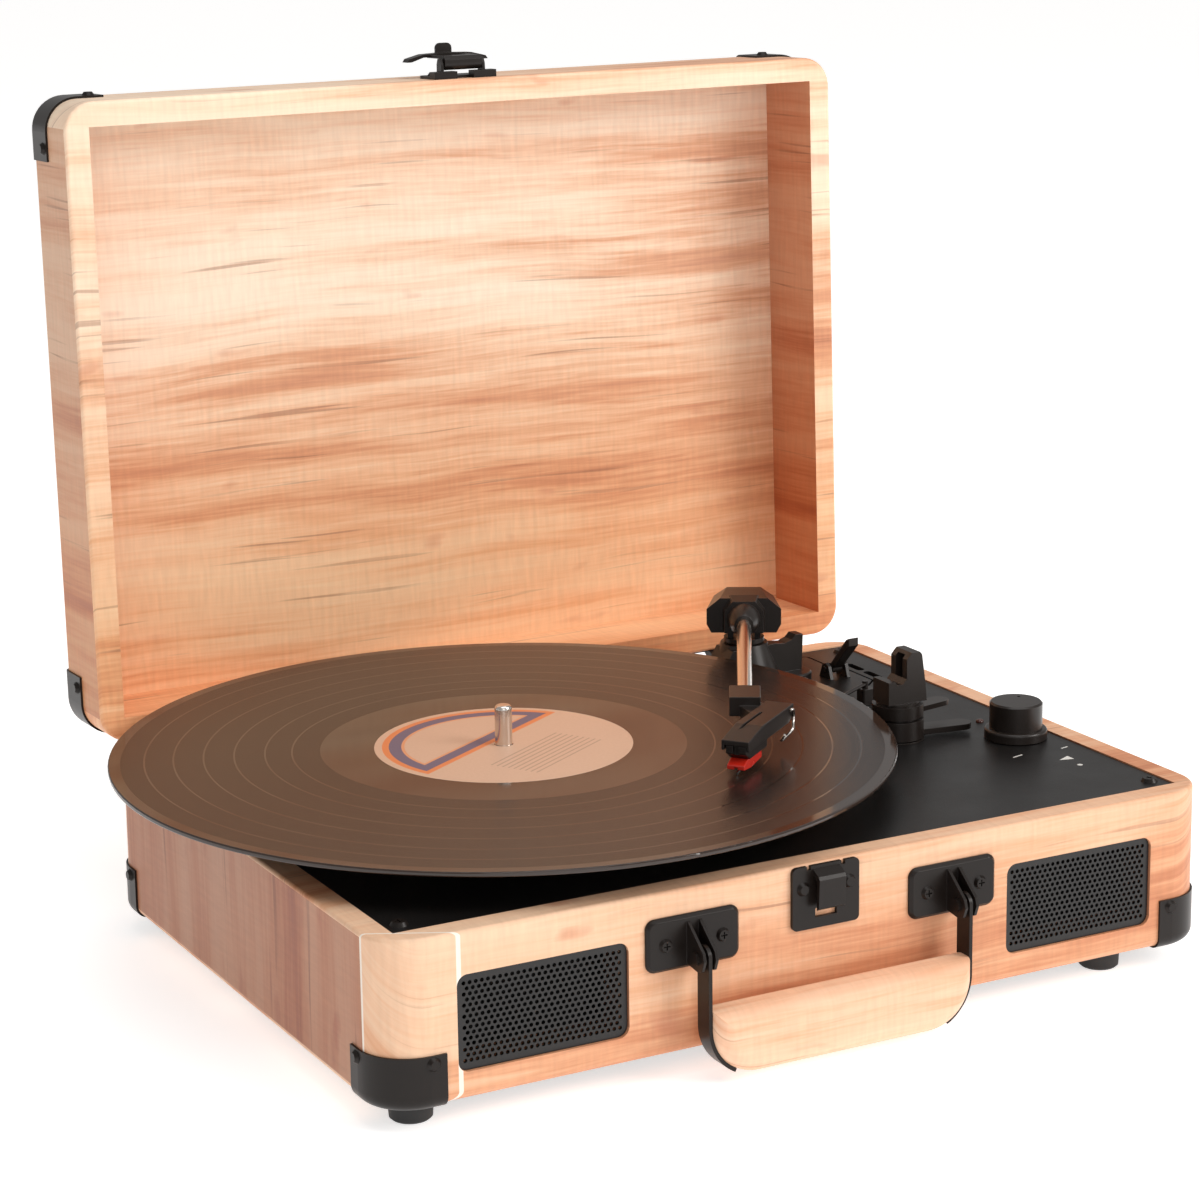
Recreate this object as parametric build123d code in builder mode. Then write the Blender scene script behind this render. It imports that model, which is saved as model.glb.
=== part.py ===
"""Portable suitcase record player, lid open, a 12-inch record on the platter.

Millimetres.  +X right, +Y towards the hinges, +Z up.  The origin is the point on the
floor below the centre of the case.  The lid is designed closed and then swung open.
"""
from math import cos, radians, sin
from build123d import *
import os

os.makedirs("parts", exist_ok=True)

# ---------------------------------------------------------------- driving dimensions
CASE_WIDTH = 348.0
CASE_DEPTH = 256.0
BASE_HEIGHT = 61.0
LID_HEIGHT = 39.5
FOOT_HEIGHT = 9.0
WALL = 10.0
CORNER_RADIUS = 18.0
LID_CORNER_RADIUS = 12.5
EDGE_RADIUS = 4.0
RIM_EDGE_RADIUS = 1.5
BOARD = 4.0
LID_PANEL = 3.0

RIM_Z = FOOT_HEIGHT + BASE_HEIGHT
HALF_WIDTH = CASE_WIDTH / 2
HALF_DEPTH = CASE_DEPTH / 2
FRONT_Y = -HALF_DEPTH
BACK_Y = HALF_DEPTH

# lid hinge: a horizontal axis along X behind the case
HINGE_Y = 133.0
HINGE_Z = RIM_Z - 4.0
LID_OPEN_ANGLE = 92.0
HINGE_AXIS = Axis((0, HINGE_Y, HINGE_Z), (1, 0, 0))
HINGE_X = 112.0
KNUCKLE_RADIUS = 3.2
HINGE_PIN_RADIUS = 1.5

# deck: a black plate just below the rim, with the mechanism plate let into it
DECK_TOP = RIM_Z - 0.5
DECK_THICKNESS = 2.5
DECK_BOTTOM = DECK_TOP - DECK_THICKNESS
DECK_GAP = 0.4
LEDGE = 4.0
PLATE_GAP = 1.0

# record, platter and drive
RECORD_X = -54.6
RECORD_Y = 16.2
RECORD_RADIUS = 151.0
RECORD_THICKNESS = 1.9
RECORD_TOP = RIM_Z + 14.5
RECORD_BOTTOM = RECORD_TOP - RECORD_THICKNESS
RECORD_HOLE_RADIUS = 3.62
SPINDLE_RADIUS = 3.55
SPINDLE_TIP_RADIUS = 3.35
SPINDLE_TOP = RECORD_TOP + 15.8
SPINDLE_BOTTOM = 44.0
MAT_RADIUS = 94.0
MAT_THICKNESS = 2.0
PLATTER_RADIUS = 98.0
PLATTER_TOP = RECORD_BOTTOM - MAT_THICKNESS
DRIVE_RIM_RADIUS = 52.5
PULLEY_RADIUS = 5.0
PULLEY_X = RECORD_X - 60.0
PULLEY_Y = RECORD_Y - 42.0
BELT_GAP = 0.3
BELT_THICKNESS = 1.2
BELT_LOW = 73.4
BELT_HIGH = 77.4
RUNNING = 0.05

# tonearm: PIVOT is the upright axis, ARM_ANGLE the arm's direction from the pivot
PIVOT_X = 98.0
PIVOT_Y = 92.0
ARM_ANGLE = 239.4
ARM_AXIS_Z = RIM_Z + 29.5
TUBE_RADIUS = 3.0
TUBE_END = 134.0
HEAD_X = 1.1
HEAD_Y = -65.4
HEAD_ANGLE = 37.9
HEAD_LENGTH = 45.6
HEAD_WIDTH = 11.0
HEAD_TOP = RIM_Z + 31.0
STYLUS_CLEARANCE = 0.25

# tonearm rest with its two lever rings
REST_X = 107.0
REST_Y = -13.0
REST_CORE_RADIUS = 8.6
RING_RADIUS = 10.5

# controls on the right of the deck
KNOB_X = 148.3
KNOB_Y = -36.0
KNOB_RADIUS = 10.6
KNOB_FLANGE_RADIUS = 12.6
POT_NECK_RADIUS = 5.0
KNOB_SHAFT_RADIUS = 3.0
LED_X = 148.3
LED_Y = -11.0
CUE_X = 135.0
CUE_Y = 78.0
CUE_Z = DECK_TOP + 4.0
LIFT_X = 122.5
LIFT_Y = 35.0

# front hardware
GRILLE_X = 112.5
GRILLE_Z = RIM_Z - 33.0
GRILLE_WIDTH = 66.0
GRILLE_HEIGHT = 35.0
HANDLE_X = 54.5
HANDLE_PLATE_Z = RIM_Z - 19.0
HANDLE_PIVOT_Y = -137.0
HANDLE_PIVOT_Z = RIM_Z - 23.0
GRIP_TOP = RIM_Z - 42.0
GRIP_BOTTOM = RIM_Z - 67.0
GRIP_Y = -138.3
GRIP_THICKNESS = 15.5
STRAP_THICKNESS = 1.4
STRAP_WIDTH = 8.0
RIVET_RADIUS = 1.5

# lid latch, in closed-lid coordinates
LATCH_PLATE_LOW = RIM_Z + 2.5
LATCH_PIN_Y = FRONT_Y - 6.3
LATCH_PAD = 3.0
BARREL_HALF = 8.4
BARREL_RADIUS = 2.9
LATCH_PIN_Z = RIM_Z + 7.0
LATCH_PIN_RADIUS = 1.0


def save(builder, name):
    """Label a finished piece and write it as one STEP file."""
    builder.part.label = name
    export_step(builder.part, f"parts/{name}.step")


def save_open(builder, name):
    """Swing a piece designed on the closed lid to the open lid, then write it."""
    builder.part = builder.part.rotate(HINGE_AXIS, -LID_OPEN_ANGLE)
    save(builder, name)


def direction(angle):
    """Unit vector in plan at this many degrees from +X."""
    return Vector(cos(radians(angle)), sin(radians(angle)), 0)


def arm_plane(distance, height=ARM_AXIS_Z):
    """Plane across the tonearm, its normal pointing from the pivot to the head."""
    along = direction(ARM_ANGLE)
    origin = Vector(PIVOT_X, PIVOT_Y, height) + along * distance
    return Plane(origin, x_dir=direction(ARM_ANGLE + 90), z_dir=along)


def arm_level(height):
    """Level plane on the pivot, its local X along the tonearm."""
    return Plane((PIVOT_X, PIVOT_Y, height), x_dir=direction(ARM_ANGLE), z_dir=(0, 0, 1))


def head_level(height):
    """Level plane at the front of the headshell, its local X running backwards."""
    return Plane((HEAD_X, HEAD_Y, height), x_dir=direction(HEAD_ANGLE), z_dir=(0, 0, 1))


# ---------------------------------------------------------------- nails, screws and where they go
GUARD_THICKNESS = 0.9
GUARD_REACH = 24.0
GUARD_HEIGHT = 20.0
NAIL_RADIUS = 2.6
NAIL_HEIGHT = 1.3
NAIL_SHANK_RADIUS = 0.8
NAIL_LENGTH = 7.0
SCREW_RADIUS = 1.4
SCREW_HEAD_RADIUS = 2.6
SCREW_LENGTH = 8.0

LATCH_WIDTH = 28.0
LATCH_HEIGHT = 16.0
SHEET = 1.2
KEEPER_HEIGHT = 23.5
KEEPER_Z = RIM_Z - 0.4 - KEEPER_HEIGHT / 2
KEEPER_NAILS = [(-9.6, KEEPER_Z + 3.6), (9.6, KEEPER_Z + 3.6)]
LEAF_WIDTH = 26.0
LEAF_HEIGHT = 20.0
LEAF_THICKNESS = 1.2
HANDLE_PLATE_WIDTH = 37.5
HANDLE_PLATE_HEIGHT = 19.6
HANDLE_PLATE_THICKNESS = 2.0
HANDLE_SCREW_REACH = 11.5


def nail_places(z):
    """Planes on the outer faces where the guard nails sit."""
    places = []
    for sx in (-1, 1):
        for sy in (-1, 1):
            x = sx * (HALF_WIDTH + GUARD_THICKNESS)
            y = sy * (HALF_DEPTH + GUARD_THICKNESS)
            inset = GUARD_REACH - 5
            places.append(Plane((sx * (HALF_WIDTH - inset), y, z), z_dir=(0, sy, 0)))
            places.append(Plane((x, sy * (HALF_DEPTH - inset), z), z_dir=(sx, 0, 0)))
    return places


def hinge_screw_planes(up):
    """Screw heads on the leaves of one case half."""
    z = HINGE_Z + up * (12 + LEAF_HEIGHT / 2)
    y = BACK_Y + LEAF_THICKNESS
    return [
        Plane((side * HINGE_X + reach, y, z), z_dir=(0, 1, 0))
        for side in (-1, 1)
        for reach in (-8, 8)
    ]


def bores(planes, radius, depth):
    """Cylinders that sink from the planes, to be cut from a part."""
    with BuildPart() as group:
        for plane in planes:
            with BuildSketch(plane):
                Circle(radius)
            extrude(amount=-depth)
    return group.part


handle_screw_planes = [
    Plane(
        (side * HANDLE_X + reach, FRONT_Y - HANDLE_PLATE_THICKNESS, HANDLE_PLATE_Z),
        z_dir=(0, -1, 0),
    )
    for side in (-1, 1)
    for reach in (-HANDLE_SCREW_REACH, HANDLE_SCREW_REACH)
]
keeper_nail_planes = [Plane((x, FRONT_Y - 1.5, z), z_dir=(0, -1, 0)) for x, z in KEEPER_NAILS]
latch_nail_planes = [
    Plane((x, FRONT_Y - SHEET, LATCH_PLATE_LOW + LATCH_HEIGHT / 2 + 2), z_dir=(0, -1, 0))
    for x in (-10, 10)
]
base_nail_planes = nail_places(FOOT_HEIGHT + 16) + keeper_nail_planes
lid_nail_planes = nail_places(RIM_Z + LID_HEIGHT - 15) + latch_nail_planes
base_screw_planes = handle_screw_planes + hinge_screw_planes(-1)

# ---------------------------------------------------------------- case, lower half
with BuildPart() as base_walls:
    with BuildSketch(Plane.XY.offset(FOOT_HEIGHT)):
        RectangleRounded(CASE_WIDTH, CASE_DEPTH, CORNER_RADIUS)
    extrude(amount=BASE_HEIGHT)
    outside = base_walls.edges().filter_by(Plane.XY)
    fillet(outside.group_by(Axis.Z)[0], EDGE_RADIUS)
    fillet(base_walls.edges().group_by(Axis.Z)[-1], RIM_EDGE_RADIUS)
    with BuildSketch(Plane.XY.offset(FOOT_HEIGHT)):
        Rectangle(CASE_WIDTH - 2 * WALL - 2 * LEDGE, CASE_DEPTH - 2 * WALL - 2 * LEDGE)
    extrude(amount=BASE_HEIGHT, mode=Mode.SUBTRACT)
    with BuildSketch(Plane.XY.offset(DECK_BOTTOM)):
        Rectangle(CASE_WIDTH - 2 * WALL, CASE_DEPTH - 2 * WALL)
    extrude(amount=DECK_THICKNESS + 1, mode=Mode.SUBTRACT)
    with BuildSketch(Plane.XY.offset(FOOT_HEIGHT)):
        Rectangle(CASE_WIDTH - 2 * WALL, CASE_DEPTH - 2 * WALL)
    extrude(amount=BOARD, mode=Mode.SUBTRACT)
    # speaker openings: a shallow seat for the grille, then a smaller hole for the sound
    for side in (-1, 1):
        with BuildSketch(Plane.XZ.offset(HALF_DEPTH)):
            with Locations((side * GRILLE_X, GRILLE_Z)):
                RectangleRounded(GRILLE_WIDTH, GRILLE_HEIGHT, 4)
        extrude(amount=-3.2, mode=Mode.SUBTRACT)
        with BuildSketch(Plane.XZ.offset(HALF_DEPTH)):
            with Locations((side * GRILLE_X, GRILLE_Z)):
                RectangleRounded(GRILLE_WIDTH - 5, GRILLE_HEIGHT - 5, 3)
        extrude(amount=-(WALL + LEDGE), mode=Mode.SUBTRACT)
    # cut-out at the back for the socket plate
    with BuildSketch(Plane.XZ.offset(-HALF_DEPTH)):
        with Locations((-60, 34)):
            RectangleRounded(62, 22, 2)
    extrude(amount=WALL + LEDGE, mode=Mode.SUBTRACT)
    add(bores(base_nail_planes, NAIL_SHANK_RADIUS, NAIL_LENGTH), mode=Mode.SUBTRACT)
    add(bores(base_screw_planes, SCREW_RADIUS, SCREW_LENGTH), mode=Mode.SUBTRACT)
save(base_walls, "base_walls")

FOOT_PLACES = [(-156, -111), (135, -111), (-156, 108), (135, 108)]
FOOT_SCREW_RADIUS = 1.8

with BuildPart() as base_bottom:
    with BuildSketch(Plane.XY.offset(FOOT_HEIGHT)):
        Rectangle(CASE_WIDTH - 2 * WALL - DECK_GAP, CASE_DEPTH - 2 * WALL - DECK_GAP)
        with Locations(*FOOT_PLACES):
            Circle(FOOT_SCREW_RADIUS, mode=Mode.SUBTRACT)
        with GridLocations(9, 34, 9, 2):
            SlotOverall(26, 3, rotation=90, mode=Mode.SUBTRACT)
    extrude(amount=BOARD)
save(base_bottom, "base_bottom")

with BuildPart() as feet:
    with BuildSketch(Plane.XY):
        with Locations(*FOOT_PLACES):
            Circle(7.6)
    extrude(amount=FOOT_HEIGHT, taper=-4)
    chamfer(feet.edges().group_by(Axis.Z)[0], 0.8)
    with Locations(*[(x, y, 0) for x, y in FOOT_PLACES]):
        Cylinder(3.6, 5, align=(Align.CENTER, Align.CENTER, Align.MIN), mode=Mode.SUBTRACT)
        Cylinder(
            FOOT_SCREW_RADIUS, FOOT_HEIGHT,
            align=(Align.CENTER, Align.CENTER, Align.MIN), mode=Mode.SUBTRACT,
        )
save(feet, "feet")

with BuildPart() as foot_screws:
    with Locations(*[(x, y, 5) for x, y in FOOT_PLACES]):
        Cylinder(3.2, 2.2, align=(Align.CENTER, Align.CENTER, Align.MAX))
        Cylinder(FOOT_SCREW_RADIUS, 8, align=(Align.CENTER, Align.CENTER, Align.MIN))
save(foot_screws, "foot_screws")

# ---------------------------------------------------------------- deck
PLATE_OUTLINE = [
    (-110, -50), (66, -50), (100, -20), (124, -4), (126, 45), (146, 64),
    (146, 87), (142, 91), (142, 112), (-130, 112), (-130, -20),
]
PLATE_CORNER = 3.0
SLOT_X = 150.2
SLOT_YS = [86 - 14.3 * step for step in range(4)]
DECK_SCREWS = [(-158, -110), (158, -110), (-158, 110), (158, 110)]

with BuildSketch() as plate_outline:
    with BuildLine():
        Polyline(*PLATE_OUTLINE, close=True)
    make_face()
    fillet(plate_outline.vertices(), PLATE_CORNER)

with BuildPart() as deck_plate:
    with BuildSketch(Plane.XY.offset(DECK_BOTTOM)):
        Rectangle(CASE_WIDTH - 2 * WALL - DECK_GAP, CASE_DEPTH - 2 * WALL - DECK_GAP)
        add(plate_outline.sketch, mode=Mode.SUBTRACT)
        with Locations((KNOB_X, KNOB_Y)):
            Circle(POT_NECK_RADIUS, mode=Mode.SUBTRACT)
        with Locations((LED_X, LED_Y)):
            Circle(1.6, mode=Mode.SUBTRACT)
        with Locations(*[(SLOT_X, y) for y in SLOT_YS]):
            SlotOverall(12, 3.6, rotation=90, mode=Mode.SUBTRACT)
        with Locations(*DECK_SCREWS):
            Circle(1.7, mode=Mode.SUBTRACT)
    extrude(amount=DECK_THICKNESS)
save(deck_plate, "deck_plate")

with BuildPart() as deck_screws:
    with BuildSketch(Plane.XY.offset(DECK_TOP)):
        with Locations(*DECK_SCREWS):
            Circle(3.3)
    extrude(amount=1.4, taper=30)
    with BuildSketch(Plane.XY.offset(DECK_TOP - 9)):
        with Locations(*DECK_SCREWS):
            Circle(1.6)
    extrude(amount=9)
    with BuildSketch(Plane.XY.offset(DECK_TOP + 1.4)):
        with Locations(*DECK_SCREWS):
            Rectangle(3, 0.6)
            Rectangle(0.6, 3)
    extrude(amount=-0.8, mode=Mode.SUBTRACT)
save(deck_screws, "deck_screws")

BEARING_RADIUS = 7.0
MOTOR_RADIUS = 16.0
MOTOR_TOP = DECK_BOTTOM - 1.0
MOTOR_BOTTOM = MOTOR_TOP - 24.0
MOTOR_SHAFT_RADIUS = 1.0
MOTOR_HOLE_RADIUS = 7.5
STAND_BORE_RADIUS = 4.0

with BuildPart() as mechanism_plate:
    with BuildSketch(Plane.XY.offset(DECK_BOTTOM)):
        add(plate_outline.sketch)
        offset(amount=-PLATE_GAP, mode=Mode.REPLACE)
        with Locations((RECORD_X, RECORD_Y)):
            Circle(BEARING_RADIUS + RUNNING, mode=Mode.SUBTRACT)
        with Locations((PULLEY_X, PULLEY_Y)):
            Circle(MOTOR_HOLE_RADIUS, mode=Mode.SUBTRACT)
        with Locations((PIVOT_X, PIVOT_Y)):
            Circle(STAND_BORE_RADIUS + 2, mode=Mode.SUBTRACT)
        with Locations((LIFT_X, LIFT_Y)):
            Circle(1.4, mode=Mode.SUBTRACT)
    extrude(amount=DECK_THICKNESS)
    # bridges underneath carry the plate on the deck
    with BuildSketch(Plane.XY.offset(DECK_BOTTOM)):
        with Locations((-126, 60), (-100, 106), (60, 106), (-60, -47)):
            Rectangle(16, 14)
        with Locations((140, 76)):
            Rectangle(14, 14)
    extrude(amount=-2)
save(mechanism_plate, "mechanism_plate")

# ---------------------------------------------------------------- corner guards and nails


def case_block(z, height, grow, rounded_low, rounded_high):
    """Outer shape of one case half, grown by an even amount all over."""
    corner = (CORNER_RADIUS if rounded_low else LID_CORNER_RADIUS) + grow
    with BuildPart() as block:
        with BuildSketch(Plane.XY.offset(z - (grow if rounded_low else 0))):
            RectangleRounded(CASE_WIDTH + 2 * grow, CASE_DEPTH + 2 * grow, corner)
        extrude(amount=height + grow)
        if rounded_low:
            fillet(block.edges().group_by(Axis.Z)[0], EDGE_RADIUS + grow)
        if rounded_high:
            fillet(block.edges().group_by(Axis.Z)[-1], EDGE_RADIUS + grow)
    return block.part


def corner_guards(z, height, low):
    """Four pressed shells round the outer corners at the bottom or top of a case half."""
    with BuildPart() as guards:
        add(case_block(z, height, GUARD_THICKNESS, low, not low))
        add(case_block(z, height, 0, low, not low), mode=Mode.SUBTRACT)
        keep_z = z - 1 if low else z + height + 1 - GUARD_HEIGHT
        with BuildSketch(Plane.XY.offset(keep_z)):
            with GridLocations(CASE_WIDTH - GUARD_REACH + 4, CASE_DEPTH - GUARD_REACH + 4, 2, 2):
                Rectangle(GUARD_REACH + 4, GUARD_REACH + 4)
        extrude(amount=GUARD_HEIGHT, mode=Mode.INTERSECT)
    return guards.part


def domed_nails(planes):
    """Round-headed nails standing on the given planes."""
    with BuildPart() as nails:
        for plane in planes:
            with BuildSketch(plane):
                Circle(NAIL_RADIUS)
            extrude(amount=NAIL_HEIGHT, taper=35)
            with BuildSketch(plane):
                Circle(NAIL_SHANK_RADIUS)
            extrude(amount=-NAIL_LENGTH)
    return nails


with BuildPart() as base_corner_guards:
    add(corner_guards(FOOT_HEIGHT, BASE_HEIGHT, True))
    # each guard is cut away round its foot
    with BuildSketch(Plane.XY):
        with Locations(*FOOT_PLACES):
            Circle(9.4)
    extrude(amount=FOOT_HEIGHT + 1, mode=Mode.SUBTRACT)
    add(bores(nail_places(FOOT_HEIGHT + 16), NAIL_SHANK_RADIUS, 3), mode=Mode.SUBTRACT)
save(base_corner_guards, "base_corner_guards")

with BuildPart() as lid_corner_guards:
    add(corner_guards(RIM_Z, LID_HEIGHT, False))
    add(bores(nail_places(RIM_Z + LID_HEIGHT - 15), NAIL_SHANK_RADIUS, 3), mode=Mode.SUBTRACT)
save_open(lid_corner_guards, "lid_corner_guards")

# ---------------------------------------------------------------- speakers
PERFORATION_PITCH = 2.3
PERFORATION_RADIUS = 0.75
PERFORATION_ROW = PERFORATION_PITCH * 1.732

for side, side_name in ((-1, "left"), (1, "right")):
    with BuildPart() as grille:
        with BuildSketch(Plane.XZ.offset(HALF_DEPTH - 1.2)):
            with Locations((side * GRILLE_X, GRILLE_Z)):
                RectangleRounded(GRILLE_WIDTH - 0.4, GRILLE_HEIGHT - 0.4, 3.8)
        extrude(amount=-1.0)
        with BuildSketch(Plane.XZ.offset(HALF_DEPTH - 1.2)):
            with Locations((side * GRILLE_X, GRILLE_Z)):
                for columns, rows in ((27, 8), (26, 7)):
                    with GridLocations(PERFORATION_PITCH, PERFORATION_ROW, columns, rows):
                        Circle(PERFORATION_RADIUS)
        extrude(amount=-1.0, mode=Mode.SUBTRACT)
    save(grille, f"speaker_grille_{side_name}")

    # round driver on the inside of the front wall: basket, magnet and paper cone
    with BuildPart() as speaker:
        face_y = HALF_DEPTH - WALL - LEDGE
        with BuildSketch(Plane.XZ.offset(face_y)):
            with Locations((side * GRILLE_X, GRILLE_Z)):
                Circle(23.5)
                Circle(19.5, mode=Mode.SUBTRACT)
        extrude(amount=-2)
        with BuildSketch(Plane.XZ.offset(face_y - 2)):
            with Locations((side * GRILLE_X, GRILLE_Z)):
                Circle(21)
        extrude(amount=-11, taper=34)
        with BuildSketch(Plane.XZ.offset(face_y)):
            with Locations((side * GRILLE_X, GRILLE_Z)):
                Circle(19.5)
        extrude(amount=-11, taper=40, mode=Mode.SUBTRACT)
        with BuildSketch(Plane.XZ.offset(face_y - 12.5)):
            with Locations((side * GRILLE_X, GRILLE_Z)):
                Circle(15)
        extrude(amount=-9)
    save(speaker, f"speaker_driver_{side_name}")

# ---------------------------------------------------------------- lid
with BuildPart() as lid_walls:
    with BuildSketch(Plane.XY.offset(RIM_Z)):
        RectangleRounded(CASE_WIDTH, CASE_DEPTH, LID_CORNER_RADIUS)
    extrude(amount=LID_HEIGHT)
    fillet(lid_walls.edges().group_by(Axis.Z)[-1], EDGE_RADIUS)
    fillet(lid_walls.edges().group_by(Axis.Z)[0], RIM_EDGE_RADIUS)
    with BuildSketch(Plane.XY.offset(RIM_Z)):
        Rectangle(CASE_WIDTH - 2 * WALL, CASE_DEPTH - 2 * WALL)
    extrude(amount=LID_HEIGHT, mode=Mode.SUBTRACT)
    add(bores(lid_nail_planes, NAIL_SHANK_RADIUS, NAIL_LENGTH), mode=Mode.SUBTRACT)
    add(bores(hinge_screw_planes(1), SCREW_RADIUS, SCREW_LENGTH), mode=Mode.SUBTRACT)
save_open(lid_walls, "lid_walls")

with BuildPart() as lid_panel:
    with BuildSketch(Plane.XY.offset(RIM_Z + LID_HEIGHT - LID_PANEL)):
        Rectangle(CASE_WIDTH - 2 * WALL, CASE_DEPTH - 2 * WALL)
    extrude(amount=LID_PANEL)
save_open(lid_panel, "lid_panel")

# ---------------------------------------------------------------- lid latch

with BuildPart() as latch_plate:
    with BuildSketch(Plane.XZ.offset(HALF_DEPTH)):
        with Locations((0, LATCH_PLATE_LOW + LATCH_HEIGHT / 2)):
            RectangleRounded(LATCH_WIDTH, LATCH_HEIGHT, 2)
            with Locations((-10, 2), (10, 2)):
                Circle(0.8, mode=Mode.SUBTRACT)
        with Locations((0, LATCH_PLATE_LOW)):
            Rectangle(7.5, 7, mode=Mode.SUBTRACT)
    extrude(amount=SHEET)
    # two raised pads along the lip, with an ear for the lever pin at each outer end
    for side in (-1, 1):
        with BuildSketch(Plane.XZ.offset(HALF_DEPTH)):
            with Locations((side * 8.875, LATCH_PLATE_LOW + 2.6)):
                Rectangle(10.25, 5.2)
        extrude(amount=LATCH_PAD)
        with BuildSketch(Plane.YZ.offset(side * (BARREL_HALF + 1) - 0.6)):
            with BuildLine():
                Polyline(
                    (FRONT_Y - SHEET, LATCH_PIN_Z - 2.4),
                    (LATCH_PIN_Y + 0.4, LATCH_PIN_Z - 2.2),
                    (LATCH_PIN_Y - 1.8, LATCH_PIN_Z - 1.2),
                    (LATCH_PIN_Y - 1.8, LATCH_PIN_Z + 1.2),
                    (LATCH_PIN_Y + 0.4, LATCH_PIN_Z + 2.2),
                    (FRONT_Y - SHEET, LATCH_PIN_Z + 2.4),
                    close=True,
                )
            make_face()
            with Locations((LATCH_PIN_Y, LATCH_PIN_Z)):
                Circle(LATCH_PIN_RADIUS, mode=Mode.SUBTRACT)
        extrude(amount=1.2)
save_open(latch_plate, "latch_plate")

with BuildPart() as latch_pin:
    with BuildSketch(Plane.YZ.offset(-BARREL_HALF - 1.6)):
        with Locations((LATCH_PIN_Y, LATCH_PIN_Z)):
            Circle(LATCH_PIN_RADIUS)
    extrude(amount=2 * BARREL_HALF + 3.2)
save_open(latch_pin, "latch_pin")

# toggle lever folded back: a square barrel round its pin, a blade with a window, a drooping T
LEVER_TOP = LATCH_PIN_Y - BARREL_RADIUS
with BuildPart() as latch_lever:
    with BuildSketch(Plane.YZ.offset(-BARREL_HALF)):
        with Locations((LATCH_PIN_Y, LATCH_PIN_Z)):
            Circle(BARREL_RADIUS)
        with BuildLine():
            Polyline(
                (LATCH_PIN_Y, LATCH_PIN_Z - BARREL_RADIUS),
                (LEVER_TOP + 1.5, LATCH_PIN_Z - BARREL_RADIUS),
                (LEVER_TOP, LATCH_PIN_Z - BARREL_RADIUS + 1.5),
                (LEVER_TOP, LATCH_PIN_Z + BARREL_RADIUS),
                (LATCH_PIN_Y, LATCH_PIN_Z + BARREL_RADIUS),
                close=True,
            )
        make_face()
        with Locations((LATCH_PIN_Y, LATCH_PIN_Z)):
            Circle(LATCH_PIN_RADIUS + RUNNING, mode=Mode.SUBTRACT)
    extrude(amount=2 * BARREL_HALF)
    with BuildSketch(Plane.XZ.offset(-LEVER_TOP - 1.2)):
        with Locations((0, LATCH_PIN_Z + BARREL_RADIUS + 5.5)):
            Rectangle(2 * BARREL_HALF, 12)
            Rectangle(10.4, 7.2, mode=Mode.SUBTRACT)
    extrude(amount=1.2)
    # the T: its two fingers droop towards the lid, a rounded thumb tab stands in the middle
    with BuildSketch(Plane.XY.offset(LATCH_PIN_Z + 12)):
        with BuildLine():
            Polyline(
                (-18.5, LEVER_TOP + 2.6), (-17.5, LEVER_TOP + 1.2), (-11, LEVER_TOP - 0.4),
                (0, LEVER_TOP - 0.8), (11, LEVER_TOP - 0.4), (17.5, LEVER_TOP + 1.2),
                (18.5, LEVER_TOP + 2.6), (16.5, LEVER_TOP + 2.6), (11, LEVER_TOP + 0.9),
                (0, LEVER_TOP + 0.9), (-11, LEVER_TOP + 0.9), (-16.5, LEVER_TOP + 2.6),
                close=True,
            )
        make_face()
    extrude(amount=5.2)
    with BuildSketch(Plane.XY.offset(LATCH_PIN_Z + 15.8)):
        with Locations((0, LEVER_TOP - 2.4)):
            Rectangle(7.4, 4.4)
    extrude(amount=1.2)
    tab_edges = latch_lever.edges().filter_by(Axis.Z).group_by(Axis.Y)[0]
    fillet(tab_edges, 2.2)
save_open(latch_lever, "latch_lever")

# ---------------------------------------------------------------- latch keeper on the base

with BuildPart() as latch_keeper:
    with BuildSketch(Plane.XZ.offset(HALF_DEPTH)):
        with Locations((0, KEEPER_Z)):
            RectangleRounded(LATCH_WIDTH, KEEPER_HEIGHT, 2)
        with Locations((-7.2, KEEPER_Z + KEEPER_HEIGHT / 2), (7.2, KEEPER_Z + KEEPER_HEIGHT / 2)):
            Rectangle(1.6, 3, mode=Mode.SUBTRACT)
        with Locations((0, KEEPER_Z - 6)):
            Rectangle(9, 3.4, mode=Mode.SUBTRACT)
        with Locations(*KEEPER_NAILS):
            Circle(0.8, mode=Mode.SUBTRACT)
    extrude(amount=1.5)
    # hook folded out of the plate
    with BuildSketch(Plane.YZ.offset(-5.6)):
        with BuildLine():
            Polyline(
                (FRONT_Y - 1.5, KEEPER_Z + 10.6),
                (FRONT_Y - 5.4, KEEPER_Z + 8.6),
                (FRONT_Y - 6.2, KEEPER_Z + 7.4),
                (FRONT_Y - 5.6, KEEPER_Z - 3.4),
                (FRONT_Y - 4.2, KEEPER_Z - 4.2),
                (FRONT_Y - 4.2, KEEPER_Z + 6.6),
                (FRONT_Y - 1.5, KEEPER_Z + 8.4),
                close=True,
            )
        make_face()
    extrude(amount=11.2)
save(latch_keeper, "latch_keeper")

base_nails = domed_nails(base_nail_planes)
save(base_nails, "base_nails")

lid_nails = domed_nails(lid_nail_planes)
save_open(lid_nails, "lid_nails")

# ---------------------------------------------------------------- hinges


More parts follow.
